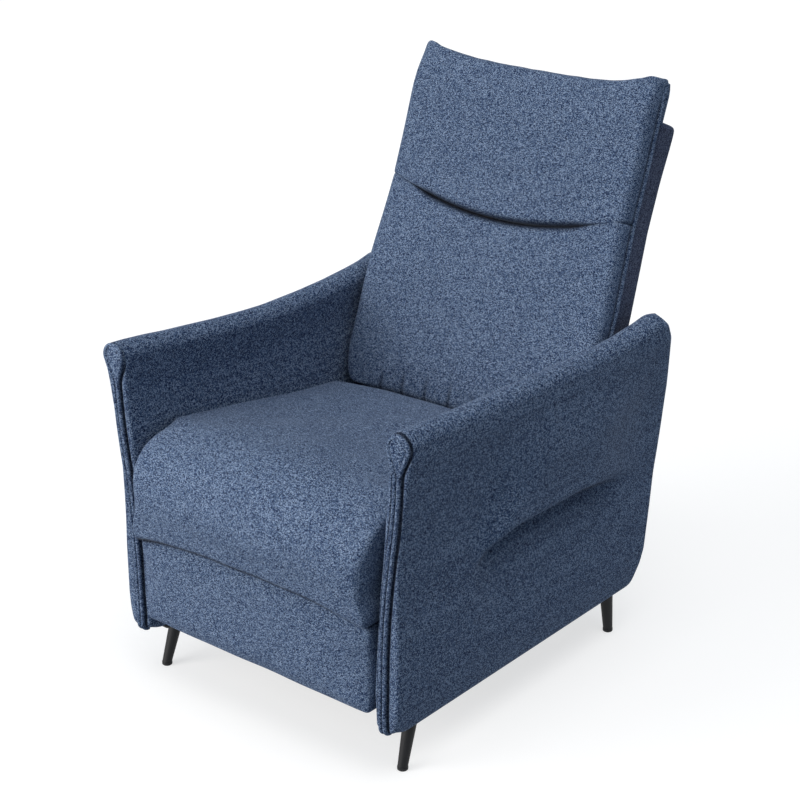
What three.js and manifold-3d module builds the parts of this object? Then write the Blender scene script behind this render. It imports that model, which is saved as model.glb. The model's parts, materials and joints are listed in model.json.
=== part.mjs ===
// Push-back recliner armchair, built as it is assembled: two upholstered arms on a base with four legs,
// a seat that swings forward on parallel links, a back that reclines on the seat, and a linked footrest.
// Millimetres, +Z up. The chair faces -Y, and the sitter's left is +X.

import * as THREE from "three";
import { mergeVertices } from "three/addons/utils/BufferGeometryUtils.js";
import Module from "manifold-3d";

const wasm = await Module();
wasm.setup();

const { PI, sin, cos, tan, abs, max, min, atan2, hypot } = Math;
const RAD = PI / 180;

// ---------- Fits ----------
const TOUCH = 0.3; // gap between two pieces that rest on each other
const PIN_PLAY = 0.5; // radial clearance of a pin in its hole
const LAYER_GAP = 1.5; // side clearance between neighbouring links
const SOFT_GAP = 3; // room left around upholstery that slides past a neighbour

// ---------- Arms and base ----------
const BAY_HALF = 259; // half the clear width between the arms, at the mechanism
const LEG_HEIGHT = 83; // floor to the underside of the arms
const ARM_HEIGHT = 634; // floor to the top of the arm at its front
const ARM_OVERHANG = 55; // how far the arm's front stands ahead of the seat box
const ARM_TAIL = 165; // how far the arm runs behind the back hinge
const ARM_LEAN = 0.077; // outward lean of the arm's inner face, per mm of height
const ARM_LEAN_START = 160; // height where that lean starts
const ARM_BULGE = 15; // how far the upper pad overhangs on the outside
const ARM_DIP = 18; // sag of the arm's top line between front and rear
const EAR_RISE = 8; // rise of the rear corner over the front of the arm
const EAR_FLARE = 8; // how far the rear corner leans out
const FACING_THICK = 8;
const PANEL_THICK = 12; // plywood inside the arm
const PANEL_INSET = 20.5; // from the arm's inner face to the middle of the panel, near the bottom
const PANEL_LEAN = 0.0367;
const PANEL_TOP = 465;
const PANEL_CORNER = 45;
const PANEL_FRONT_COVER = 12; // padding ahead of the panel
const PANEL_REAR_COVER = 40;

const LEG_TOP_RADIUS = 12.5;
const LEG_FOOT_RADIUS = 9;
const LEG_X = 15; // leg's top outside the bay
const FRONT_LEG_INSET = 79; // from the arm's front to the leg's top
const REAR_LEG_INSET = 86;
const FRONT_SPLAY = [4, -25]; // how far the foot stands out and ahead of the leg's top
const REAR_SPLAY = [4, 5];
const LEG_PLATE = { half: 12, length: 70, thick: 4, screw: 2.5, screwInset: 9 };
const GLIDE_HEIGHT = 6;
const GLIDE_CHAMFER = 1.5;

const BASE_RAIL_THICK = 22;
const BASE_RAIL_HEIGHT = 70;
const BASE_RAIL_LIFT = 12; // base rails above the underside of the arms
const FRONT_RAIL_SETBACK = 204; // seat box front to the front base rail
const REAR_RAIL_INSET = 56; // arm's rear to the rear base rail's back face
const APRON_THICK = 18;
const APRON_TOP = 400;

// ---------- Mechanism ----------
const STEEL = 4; // thickness of links, brackets and rails
const PIN_RADIUS = 4;
const LINK_RADIUS = 11; // half width of a link
const RAIL_WEB_HEIGHT = 34;
const RAIL_FLANGE = 15;
const RAIL_FLANGE_THICK = 3;
const BASE_PIVOT_RISE = 17; // base pivots above the mechanism rail's underside
const SWING_LENGTH = 90;
const SWING_LEAN = 28 * RAD; // leans back at rest, forward by as much when open
const FRONT_SWING_SETBACK = 177; // seat box front to the front link's upper pivot
const REAR_SWING_REACH = 17; // the rear link's upper pivot behind the seat box
const TUBE_RADIUS = 8;

// ---------- Seat ----------
const SEAT_BOX_DEPTH = 470;
const SEAT_BOX_HEIGHT = 66;
const SEAT_BOX_LIFT = 3; // seat box above its link pivots
const SEAT_RAIL_THICK = 22;
const SEAT_PLATE_HEIGHT = 80;
const SPRING_COUNT = 5;
const SPRING_WIRE = 2; // radius
const SPRING_LOOPS = 7;
const SPRING_AMPLITUDE = 22;
const SPRING_LEAD = 12; // straight end of each spring
const SEAT_CUSHION_THICK = 152; // at the front, over the seat box
const SEAT_CUSHION_REAR = 100;
const SEAT_CUSHION_OVERHANG = 5; // seat cushion wider than the bay by this much a side
const SEAT_CROWN = 14;
const NOSE_REACH = 87; // seat cushion ahead of the seat box
const NOSE_DROP = 38; // how far the nose hangs below the top of the seat box
const SEAM_ARCH = 15; // rise of the seam between seat and footrest at the middle

// ---------- Footrest linkage ----------
const OTTOMAN_PIVOT = [45, -39]; // behind the seat box front, below its underside
const DRIVE_LENGTH = 134;
const DRIVE_ANGLE = -63.4 * RAD;
const SUPPORT_LENGTH = 143;
const SUPPORT_ANGLE = 138.4 * RAD;
const BRACKET_REACH = 15; // footrest pivot behind the board
const BRACKET_HEIGHT = 96;
const BRACKET_FLANGE = 20;
const FOOTREST_INSET = 5; // footrest narrower than the bay by this much a side
const FOOTREST_BOTTOM = 126;
const FOOTREST_BOARD_THICK = 12;
const FOOTREST_BOARD_INSET = 8; // board inside the pad's outline
const FOOTREST_PAD_THICK = 40;

// ---------- Back ----------
const BACK_LEAN = 21.5 * RAD;
const BACK_PIVOT_SETBACK = 60; // behind the seat box
const BACK_PIVOT_RISE = 47; // above the seat box
const BACK_OVERHANG = 3; // back wider than the bay by this much a side
const BACK_TOP_TAPER = 9; // narrower by this much a side at the top
const SHELL_LENGTH = 613; // from the hinge to the top of the shell, along the back
const SHELL_REAR = 47; // shell's rear face behind the hinge, square to the back
const SHELL_FRONT = -22;
const SHELL_WALL = 9;
const POST_THICK = 24;
const POST_DEPTH = [-14, 22];
const POST_FOOT = 34; // post's lower end above the hinge
const BACK_RAIL_HEIGHT = 36;
const BACK_BRACKET_LENGTH = 190;
const WEB_THICK = 2;
const WEB_WIDTH = 34;
const CUSHION_FACE = -68; // front face of both back cushions
const LUMBAR_FOOT = 32; // lumbar cushion's lower edge above the hinge
const TUCK_MIDDLE = 383; // crescent tuck above the hinge, at the middle
const TUCK_RISE = 34; // higher by this much at the ends
const TUCK_GAP = 4;
const HEAD_MIDDLE = 661; // top edge of the headrest at the middle
const HEAD_CORNER = 19; // corners stand higher by this much
const EDGE_ROUND = 14;

// ---------- Places worked out from the sizes ----------
const seatFront = -345;
const seatRear = seatFront + SEAT_BOX_DEPTH;
const armFront = seatFront - ARM_OVERHANG;
const backPivotY = seatRear + BACK_PIVOT_SETBACK;
const armRear = backPivotY + ARM_TAIL;
const armLength = armRear - armFront;
const armSpan = ARM_HEIGHT - LEG_HEIGHT;
const baseRailZ = LEG_HEIGHT + BASE_RAIL_LIFT;
const mechanismZ = baseRailZ + BASE_RAIL_HEIGHT + TOUCH;
const basePivotZ = mechanismZ + BASE_PIVOT_RISE;
const seatPivotZ = basePivotZ + SWING_LENGTH * cos(SWING_LEAN);
const seatBoxZ = seatPivotZ + SEAT_BOX_LIFT;
const seatBoxTop = seatBoxZ + SEAT_BOX_HEIGHT;
const backPivotZ = seatBoxTop + BACK_PIVOT_RISE;
const frontRailY = seatFront + FRONT_RAIL_SETBACK;
const rearRailY = armRear - REAR_RAIL_INSET - BASE_RAIL_THICK;
const pinHole = PIN_RADIUS + PIN_PLAY;

const seatPivots = [seatFront + FRONT_SWING_SETBACK, seatRear + REAR_SWING_REACH];
const basePivots = seatPivots.map((y) => y - SWING_LENGTH * sin(SWING_LEAN));
const drivePivot = [seatFront + OTTOMAN_PIVOT[0], seatBoxZ + OTTOMAN_PIVOT[1]];
const supportPivot = along(drivePivot, DRIVE_LENGTH, DRIVE_ANGLE);
const footrestPivot = along(supportPivot, SUPPORT_LENGTH, SUPPORT_ANGLE);
const boardRear = footrestPivot[0] - BRACKET_REACH;
const footrestTop = seatBoxTop - NOSE_DROP - SOFT_GAP;
const backPivot = [backPivotY, backPivotZ];
const seatCushionHalf = BAY_HALF + SEAT_CUSHION_OVERHANG;
const footrestHalf = BAY_HALF - FOOTREST_INSET;
const backHalfWidth = BAY_HALF + BACK_OVERHANG;

// Links lie side by side: layer 0 is the mechanism rail's web, and each further layer is nearer the middle.
const layerOuter = (n) => BAY_HALF - SOFT_GAP - n * (STEEL + LAYER_GAP);
const layerInner = (n) => layerOuter(n) - STEEL;
const LAYER = { rail: 0, swing: 1, seatPlate: 2, drive: 3, backBracket: 3, support: 4, bracket: 5 };

// ---------- Finishes ----------
const FABRIC = { color: 0x465f86, roughness: 0.95, metalness: 0 };
const FABRIC_DARK = { color: 0x2c3d5c, roughness: 0.95, metalness: 0 };
const PLYWOOD = { color: 0xc9a877, roughness: 0.7, metalness: 0 };
const PINE = { color: 0xd8bd8d, roughness: 0.75, metalness: 0 };
const BLACK_STEEL = { color: 0x17181a, roughness: 0.4, metalness: 0.5 };
const ZINC = { color: 0xa9adb0, roughness: 0.35, metalness: 0.9 };
const SPRING_STEEL = { color: 0x6f7377, roughness: 0.3, metalness: 1 };
const WEBBING = { color: 0x3a3a3c, roughness: 0.9, metalness: 0 };
const PLASTIC = { color: 0x202224, roughness: 0.6, metalness: 0 };

// ---------- Tools ----------
function along([y, z], length, angle) {
  return [y + length * cos(angle), z + length * sin(angle)];
}

function smooth(from, to, value) {
  return THREE.MathUtils.smoothstep(value, from, to);
}

function toSolid(geometry) {
  const bare = geometry.clone();
  for (const name of Object.keys(bare.attributes)) if (name !== "position") bare.deleteAttribute(name);
  const merged = mergeVertices(bare, 1e-4);
  return new wasm.Manifold(
    new wasm.Mesh({
      numProp: 3,
      vertProperties: merged.attributes.position.array,
      triVerts: new Uint32Array(merged.index.array),
    }),
  );
}

function fromSolid(solid) {
  const mesh = solid.getMesh();
  return new THREE.BufferGeometry()
    .setAttribute("position", new THREE.BufferAttribute(mesh.vertProperties, 3))
    .setIndex(new THREE.BufferAttribute(mesh.triVerts, 1));
}

function join(first, ...others) {
  return fromSolid(others.reduce((solid, other) => solid.add(toSolid(other)), toSolid(first)));
}

function cut(first, ...others) {
  return fromSolid(others.reduce((solid, other) => solid.subtract(toSolid(other)), toSolid(first)));
}

function box([x0, x1], [y0, y1], [z0, z1]) {
  return new THREE.BoxGeometry(x1 - x0, y1 - y0, z1 - z0).translate((x0 + x1) / 2, (y0 + y1) / 2, (z0 + z1) / 2);
}

// A shape drawn in (y, z), with its thickness along +X from x.
function sidePlate(shape, x, thickness, steps = 1) {
  const turn = new THREE.Matrix4().makeBasis(
    new THREE.Vector3(0, 1, 0),
    new THREE.Vector3(0, 0, 1),
    new THREE.Vector3(1, 0, 0),
  );
  const made = new THREE.ExtrudeGeometry(shape, { depth: thickness, steps, bevelEnabled: false, curveSegments: 6 });
  return made.applyMatrix4(turn).translate(x, 0, 0);
}

// A shape drawn in (x, z), with its thickness along +Y from y.
function frontPlate(shape, y, thickness, options = {}) {
  const turn = new THREE.Matrix4().makeBasis(
    new THREE.Vector3(1, 0, 0),
    new THREE.Vector3(0, 0, 1),
    new THREE.Vector3(0, -1, 0),
  );
  const settings = { depth: thickness, steps: 1, bevelEnabled: false, curveSegments: 6, ...options };
  return new THREE.ExtrudeGeometry(shape, settings).applyMatrix4(turn).translate(0, y + thickness, 0);
}

function outline(points) {
  return new THREE.Shape(points.map(([a, b]) => new THREE.Vector2(a, b)));
}

function roundedRectangle([a0, a1], [b0, b1], radius) {
  const shape = new THREE.Shape();
  shape.absarc(a1 - radius, b0 + radius, radius, -PI / 2, 0);
  shape.absarc(a1 - radius, b1 - radius, radius, 0, PI / 2);
  shape.absarc(a0 + radius, b1 - radius, radius, PI / 2, PI);
  shape.absarc(a0 + radius, b0 + radius, radius, PI, 1.5 * PI);
  return shape;
}

// A bar with round ends about two points, drawn in (y, z), with a pin hole at each point in holes.
function linkShape(from, to, radius, holes = []) {
  const angle = atan2(to[1] - from[1], to[0] - from[0]);
  const shape = new THREE.Shape();
  shape.absarc(to[0], to[1], radius, angle - PI / 2, angle + PI / 2);
  shape.absarc(from[0], from[1], radius, angle + PI / 2, angle + 1.5 * PI);
  for (const [y, z] of holes) shape.holes.push(new THREE.Path().absarc(y, z, pinHole, 0, 2 * PI));
  return shape;
}

function link(from, to, layer, holes = [from, to]) {
  return sidePlate(linkShape(from, to, LINK_RADIUS, holes), layerInner(layer), STEEL);
}

// A round bar along X between x0 and x1.
function barAcross([y, z], radius, x0, x1) {
  return new THREE.CylinderGeometry(radius, radius, x1 - x0, 12).rotateZ(PI / 2).translate((x0 + x1) / 2, y, z);
}

// A rivet pin that starts inside one layer's plate and reaches through the plate of the next layer.
function pin(point, fromLayer, toLayer) {
  const [low, high] = [fromLayer, toLayer].sort((a, b) => b - a);
  const inward = toLayer > fromLayer;
  const x0 = inward ? layerInner(low) - LAYER_GAP / 2 : layerInner(low) + STEEL / 2;
  const x1 = inward ? layerOuter(high) - STEEL / 2 : layerOuter(high) + LAYER_GAP / 2;
  return barAcross(point, PIN_RADIUS, x0, x1);
}

function addNode(group, name, geometry, finish) {
  const mesh = new THREE.Mesh(geometry, new THREE.MeshStandardMaterial(finish));
  mesh.name = name;
  group.add(mesh);
  return mesh;
}

// Builds the sitter's left half as drawn, and the right half as its mirror image.
function bothSides(body, build) {
  for (const [side, sign] of [["left", 1], ["right", -1]]) {
    const half = new THREE.Group();
    half.scale.x = sign;
    body.add(half);
    build(half, side);
  }
}

// ---------- Arms ----------
function armInner(z) {
  return BAY_HALF + max(0, z - ARM_LEAN_START) * ARM_LEAN;
}

// Thickness of the arm against its share of the arm's height: wide foot, slim waist, rolled top.
const ARM_THICKNESS = [
  [0, 32],
  [0.05, 40],
  [0.19, 43],
  [0.41, 33],
  [0.6, 27],
  [0.7, 26],
  [0.79, 29],
  [0.87, 34],
  [0.93, 42],
  [0.97, 40],
  [0.992, 32],
];

function armSection() {
  const level = (share) => LEG_HEIGHT + share * armSpan;
  const outer = ARM_THICKNESS.map(([share, thick]) => [armInner(level(share)) + thick, level(share)]);
  const inner = ARM_THICKNESS.map(([share]) => [armInner(level(share)), level(share)]).reverse();
  const crest = [armInner(ARM_HEIGHT) + ARM_THICKNESS.at(-1)[1] / 2, ARM_HEIGHT];
  inner[0][0] += 6;
  return outline([...outer, crest, ...inner]);
}

// Rear edge of the arm at a share of its height: cut away at the foot and at the ear, fuller between.
function armRearEdge(share) {
  const fuller = 22 * smooth(0.45, 0.75, share) - 45 * smooth(0.88, 1, share);
  return armRear + fuller - 34 * (1 - smooth(0, 0.07, share));
}

function sculptArm(geometry) {
  const place = geometry.attributes.position;
  for (let i = 0; i < place.count; i++) {
    const [x, y, z] = [place.getX(i), place.getY(i), place.getZ(i)];
    const run = (y - armFront) / armLength;
    const share = (z - LEG_HEIGHT) / armSpan;
    const across = max(0, x - armInner(z)) / 30;
    const top = smooth(0.65, 0.97, share);
    const sag = -ARM_DIP * sin(PI * min(1, run / 0.86)) ** 2;
    const ear = EAR_RISE * smooth(0.8, 0.95, run);
    const bulge = ARM_BULGE * smooth(0.2, 0.5, run) * smooth(0.5, 0.62, share) * (1 - smooth(0.86, 1, share));
    const flare = EAR_FLARE * smooth(0.75, 0.95, run) * top;
    const middle = armInner(z) + 18;
    const slim = 1 - 0.45 * smooth(0.93, 1, run);
    place.setXYZ(
      i,
      middle + (x + min(1, across) * bulge * (1 - smooth(0.85, 1, run)) + flare - middle) * slim,
      armFront + run * (armRearEdge(share) - armFront),
      z + top * (sag + ear),
    );
  }
  return geometry;
}

function armPanel(grow = 0) {
  const y = [armFront + PANEL_FRONT_COVER - grow, armRear - PANEL_REAR_COVER + grow];
  const floor = LEG_HEIGHT + LEG_PLATE.thick + TOUCH;
  const z = [grow ? LEG_HEIGHT - 1 : floor, PANEL_TOP + grow];
  const thick = PANEL_THICK + 2 * grow;
  const shape = grow ? outline([[y[0], z[0]], [y[1], z[0]], [y[1], z[1]], [y[0], z[1]]]) : null;
  const made = sidePlate(shape ?? roundedRectangle(y, z, PANEL_CORNER), 0, thick);
  const foot = BAY_HALF + PANEL_INSET - thick / 2;
  const place = made.attributes.position;
  for (let i = 0; i < place.count; i++) {
    place.setX(i, place.getX(i) + foot + (place.getZ(i) - LEG_HEIGHT) * PANEL_LEAN);
  }
  return made;
}

const legTops = {
  front: [BAY_HALF + LEG_X, armFront + FRONT_LEG_INSET],
  rear: [BAY_HALF + LEG_X, armRear - REAR_LEG_INSET],
};
const baseRailHalf = BAY_HALF + PANEL_INSET - PANEL_THICK / 2 - TOUCH;

function armPad() {
  const body = sculptArm(frontPlate(armSection(), armFront, armLength, { steps: 12 }));
  const slot = armPanel(2 * TOUCH);
  const plates = Object.values(legTops).map(([x, y]) =>
    box(
      [x - LEG_PLATE.half - 2 * TOUCH, x + LEG_PLATE.half + 2 * TOUCH],
      [y - LEG_PLATE.length / 2 - 2 * TOUCH, y + LEG_PLATE.length / 2 + 2 * TOUCH],
      [LEG_HEIGHT - 1, LEG_HEIGHT + LEG_PLATE.thick + TOUCH],
    ),
  );
  const notches = [frontRailY, rearRailY].map((y) =>
    box(
      [BAY_HALF - 10, baseRailHalf + TOUCH],
      [y - 2 * TOUCH, y + BASE_RAIL_THICK + 2 * TOUCH],
      [baseRailZ - 2 * TOUCH, baseRailZ + BASE_RAIL_HEIGHT + 2 * TOUCH],
    ),
  );
  return cut(body, slot, ...plates, ...notches);
}

// Front facing between the welts: a round head over a narrow neck and a long strip.
function armFacing() {
  const head = [armInner(ARM_HEIGHT - 22) + 21, ARM_HEIGHT - 24];
  const middle = (share) => {
    const z = LEG_HEIGHT + share * armSpan;
    return [armInner(z) + 27 - 4 * share + 6 * smooth(0.55, 0.85, share), z];
  };
  const half = (share) => (share > 0.84 ? 3 : 7);
  const shares = [0.03, 0.1, 0.25, 0.4, 0.55, 0.7, 0.8, 0.87];
  const right = shares.map((share) => [middle(share)[0] + half(share), middle(share)[1]]);
  const left = shares.map((share) => [middle(share)[0] - half(share), middle(share)[1]]).reverse();
  const arc = [];
  for (let i = 0; i <= 12; i++) {
    const angle = (-60 + 300 * (i / 12)) * RAD;
    arc.push([head[0] + 18 * cos(angle), head[1] + 18 * sin(angle)]);
  }
  return frontPlate(outline([...right, ...arc, ...left]), armFront - TOUCH - FACING_THICK, FACING_THICK);
}

function leg(top, splay) {
  const height = LEG_HEIGHT - GLIDE_HEIGHT - 2 * TOUCH;
  const shear = new THREE.Matrix4().makeShear(0, 0, 0, 0, -splay[0] / height, -splay[1] / height);
  return new THREE.CylinderGeometry(LEG_TOP_RADIUS, LEG_FOOT_RADIUS, height, 28)
    .rotateX(PI / 2)
    .translate(0, 0, -height / 2)
    .applyMatrix4(shear)
    .translate(top[0], top[1], LEG_HEIGHT - TOUCH);
}

function legPlate([x, y]) {
  const { half, length, thick, screw, screwInset } = LEG_PLATE;
  const shape = roundedRectangle([x - half, x + half], [y - length / 2, y + length / 2], 4);
  for (const end of [-1, 1]) {
    const hole = new THREE.Path().absarc(x, y + end * (length / 2 - screwInset), screw, 0, 2 * PI);
    shape.holes.push(hole);
  }
  const settings = { depth: thick, bevelEnabled: false, curveSegments: 4 };
  return new THREE.ExtrudeGeometry(shape, settings).translate(0, 0, LEG_HEIGHT);
}

function footGlide(top, splay) {
  const radius = LEG_FOOT_RADIUS + 0.5;
  const profile = [
    [0, 0],
    [radius - GLIDE_CHAMFER, 0],
    [radius, GLIDE_CHAMFER],
    [radius, GLIDE_HEIGHT],
    [0, GLIDE_HEIGHT],
  ].map(([r, h]) => new THREE.Vector2(r, h));
  return new THREE.LatheGeometry(profile, 28).rotateX(PI / 2).translate(top[0] + splay[0], top[1] + splay[1], 0);
}

function buildBase(body) {
  bothSides(body, (half, side) => {
    addNode(half, `arm_frame_${side}`, armPanel(), PLYWOOD);
    addNode(half, `arm_pad_${side}`, armPad(), FABRIC);
    addNode(half, `arm_facing_${side}`, armFacing(), FABRIC);
    for (const [end, splay] of [["front", FRONT_SPLAY], ["rear", REAR_SPLAY]]) {
      addNode(half, `leg_${end}_${side}`, leg(legTops[end], splay), BLACK_STEEL);
      addNode(half, `leg_plate_${end}_${side}`, legPlate(legTops[end]), ZINC);
      addNode(half, `foot_glide_${end}_${side}`, footGlide(legTops[end], splay), PLASTIC);
    }
    addNode(half, `mechanism_rail_${side}`, mechanismRail(), ZINC);
  });
  for (const [end, y] of [["front", frontRailY], ["rear", rearRailY]]) {
    const rail = box(
      [-baseRailHalf, baseRailHalf],
      [y, y + BASE_RAIL_THICK],
      [baseRailZ, baseRailZ + BASE_RAIL_HEIGHT],
    );
    addNode(body, `base_rail_${end}`, rail, PINE);
  }
  addNode(body, "rear_apron", rearApron(), FABRIC_DARK);
}

function rearApron() {
  const levels = [baseRailZ, ARM_LEAN_START, APRON_TOP];
  const edge = levels.map((z) => [armInner(z) - SOFT_GAP, z]);
  const mirror = edge.map(([x, z]) => [-x, z]).reverse();
  return frontPlate(outline([...edge, ...mirror]), rearRailY + BASE_RAIL_THICK + TOUCH, APRON_THICK);
}

// ---------- Mechanism ----------
function mechanismRail() {
  const y = [basePivots[0] - 36, rearRailY + BASE_RAIL_THICK - 4];
  const web = box([layerInner(LAYER.rail), layerOuter(LAYER.rail)], y, [mechanismZ, mechanismZ + RAIL_WEB_HEIGHT]);
  const flange = box([layerOuter(0) - RAIL_FLANGE, layerOuter(0)], y, [mechanismZ, mechanismZ + RAIL_FLANGE_THICK]);
  const pins = basePivots.map((pivot) => pin([pivot, basePivotZ], LAYER.rail, LAYER.swing));
  return join(web, flange, ...pins);
}

function buildSwing(body, end, index) {
  const [low, high] = [[basePivots[index], basePivotZ], [seatPivots[index], seatPivotZ]];
  bothSides(body, (half, side) => addNode(half, `${end}_swing_link_${side}`, link(low, high, LAYER.swing), ZINC));
  if (end !== "front") return;
  const middle = [(low[0] + high[0]) / 2, (low[1] + high[1]) / 2];
  const reach = layerInner(LAYER.swing) - TOUCH;
  addNode(body, "front_torque_tube", barAcross(middle, TUBE_RADIUS, -reach, reach), BLACK_STEEL);
}

// ---------- Seat ----------
function seatPlate() {
  const z = seatPivotZ - LINK_RADIUS - SEAT_BOX_LIFT;
  const bar = outline([
    [seatFront + 27, z],
    [seatPivots[1] + LINK_RADIUS + 6, z],
    [seatPivots[1] + LINK_RADIUS + 6, z + SEAT_PLATE_HEIGHT],
    [seatFront + 27, z + SEAT_PLATE_HEIGHT],
  ]);
  const x = layerInner(LAYER.seatPlate);
  const ottomanLug = linkShape(drivePivot, [drivePivot[0], z + SEAT_PLATE_HEIGHT / 2], 16);
  const backLug = linkShape(backPivot, [seatPivots[1], seatPivotZ + 22], 16);
  return join(
    sidePlate(bar, x, STEEL),
    sidePlate(ottomanLug, x, STEEL),
    sidePlate(backLug, x, STEEL),
    ...seatPivots.map((y) => pin([y, seatPivotZ], LAYER.seatPlate, LAYER.swing)),
    pin(drivePivot, LAYER.seatPlate, LAYER.drive),
    pin(backPivot, LAYER.seatPlate, LAYER.backBracket),
  );
}

function seatSprings() {
  const z = seatBoxTop - 3 * SPRING_WIRE;
  const [y0, y1] = [seatFront + SEAT_RAIL_THICK + TOUCH, seatRear - SEAT_RAIL_THICK - TOUCH];
  const inside = layerInner(LAYER.seatPlate) - TOUCH - SEAT_RAIL_THICK;
  const pitch = (2 * inside) / SPRING_COUNT;
  const springs = [];
  for (let i = 0; i < SPRING_COUNT; i++) {
    const x = (i - (SPRING_COUNT - 1) / 2) * pitch;
    const points = [new THREE.Vector3(x, y0, z), new THREE.Vector3(x, y0 + SPRING_LEAD, z)];
    for (let k = 1; k < 4 * SPRING_LOOPS; k++) {
      const run = k / (4 * SPRING_LOOPS);
      const wave = sin(run * SPRING_LOOPS * 2 * PI);
      const y = y0 + SPRING_LEAD + run * (y1 - y0 - 2 * SPRING_LEAD);
      points.push(new THREE.Vector3(x + SPRING_AMPLITUDE * wave, y, z));
    }
    points.push(new THREE.Vector3(x, y1 - SPRING_LEAD, z), new THREE.Vector3(x, y1, z));
    springs.push(wire(points, SPRING_WIRE));
  }
  const reach = ((SPRING_COUNT - 1) / 2) * pitch + SPRING_AMPLITUDE;
  const ties = [0.3, 0.7].map((run) => barAcross([y0 + run * (y1 - y0), z], SPRING_WIRE, -reach, reach));
  return join(springs[0], ...ties, ...springs.slice(1));
}

function wire(points, radius) {
  const section = new THREE.Shape().absarc(0, 0, radius, 0, 2 * PI);
  const path = new THREE.CurvePath();
  for (let i = 1; i < points.length; i++) path.add(new THREE.LineCurve3(points[i - 1], points[i]));
  return new THREE.ExtrudeGeometry(section, { extrudePath: path, steps: points.length - 1, curveSegments: 3 });
}

// Side view of the seat cushion: flat on the seat box, a nose that rolls over its front, and a rear face
// that leans with the back cushion.
function seatCushion() {
  const floor = seatBoxTop + TOUCH;
  const rearAt = (z) =>
    backPivotY + (CUSHION_FACE - SOFT_GAP) / cos(BACK_LEAN) + (z - backPivotZ) * tan(BACK_LEAN);
  const nose = seatFront - NOSE_REACH;
  const sill = seatBoxTop - NOSE_DROP;
  const top = seatBoxTop + SEAT_CUSHION_THICK;
  const rearTop = seatBoxTop + SEAT_CUSHION_REAR;
  const profile = outline([
    [rearAt(floor), floor],
    [rearAt(rearTop), rearTop],
    [seatFront + 220, top - 22],
    [seatFront + 60, top - 1],
    [seatFront - 10, top - 4],
    [nose + 30, top - 22],
    [nose + 7, top - 55],
    [nose, top - 110],
    [nose + 4, sill + 26],
    [nose + 16, sill + 4],
    [nose + 36, sill],
    [seatFront - SOFT_GAP, sill],
    [seatFront - SOFT_GAP, floor],
  ].reverse());
  const made = sidePlate(profile, -seatCushionHalf, 2 * seatCushionHalf, 10);
  const place = made.attributes.position;
  for (let i = 0; i < place.count; i++) {
    const [x, y, z] = [place.getX(i), place.getY(i), place.getZ(i)];
    const across = 1 - (x / seatCushionHalf) ** 2;
    const crown = SEAT_CROWN * across * smooth(floor + 60, top - 30, z) * (1 - smooth(0, rearAt(rearTop), y));
    const arch = SEAM_ARCH * across * (1 - smooth(sill + 5, sill + 40, z)) * (y < seatFront ? 1 : 0);
    place.setZ(i, z + crown + (z < floor - 1 ? arch : 0));
  }
  return made;
}

function buildSeat(body) {
  const outer = layerInner(LAYER.seatPlate) - TOUCH;
  const inner = outer - SEAT_RAIL_THICK;
  const z = [seatBoxZ, seatBoxTop];
  bothSides(body, (half, side) => {
    addNode(half, `seat_side_plate_${side}`, seatPlate(), ZINC);
    addNode(half, `seat_rail_${side}`, box([inner, outer], [seatFront, seatRear], z), PINE);
  });
  const across = [-inner + TOUCH, inner - TOUCH];
  addNode(body, "seat_rail_front", box(across, [seatFront, seatFront + SEAT_RAIL_THICK], z), PINE);
  addNode(body, "seat_rail_rear", box(across, [seatRear - SEAT_RAIL_THICK, seatRear], z), PINE);
  addNode(body, "seat_spring_set", seatSprings(), SPRING_STEEL);
  addNode(body, "seat_cushion", seatCushion(), FABRIC);
}

// ---------- Footrest ----------
function buildDrive(body) {
  bothSides(body, (half, side) => {
    const drive = join(
      link(drivePivot, supportPivot, LAYER.drive, [drivePivot]),
      pin(supportPivot, LAYER.drive, LAYER.support),
    );
    addNode(half, `ottoman_drive_link_${side}`, drive, ZINC);
  });
  const middle = along(drivePivot, DRIVE_LENGTH / 2, DRIVE_ANGLE);
  const reach = layerInner(LAYER.drive) - TOUCH;
  addNode(body, "ottoman_cross_tube", barAcross(middle, TUBE_RADIUS, -reach, reach), BLACK_STEEL);
}

function buildSupport(body) {
  bothSides(body, (half, side) => {
    const arm = join(
      link(supportPivot, footrestPivot, LAYER.support, [supportPivot]),
      pin(footrestPivot, LAYER.support, LAYER.bracket),
    );
    addNode(half, `ottoman_support_link_${side}`, arm, ZINC);
  });
}

function footrestBracket() {
  const y = [boardRear + TOUCH, footrestPivot[0] + 12];
  const z = [footrestPivot[1] - 30, footrestPivot[1] - 30 + BRACKET_HEIGHT];
  const ear = outline([[y[0], z[0]], [y[1], z[0] + 14], [y[1], z[1] - 50], [y[0] + 6, z[1]], [y[0], z[1]]]);
  ear.holes.push(new THREE.Path().absarc(footrestPivot[0], footrestPivot[1], pinHole, 0, 2 * PI));
  const outer = layerOuter(LAYER.bracket);
  const foot = box([outer - BRACKET_FLANGE, outer], [y[0], y[0] + STEEL], z);
  const hole = barAcross(footrestPivot, pinHole, outer - 2 * BRACKET_FLANGE, outer + 1);
  return cut(join(sidePlate(ear, outer - STEEL, STEEL), foot), hole);
}

function archedPanel(half, z0, z1, arch) {
  const points = [[-half, z0], [half, z0]];
  for (let i = 0; i <= 8; i++) {
    const x = half - (i / 8) * 2 * half;
    points.push([x, z1 + arch * (1 - (x / half) ** 2)]);
  }
  return outline(points);
}

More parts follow.
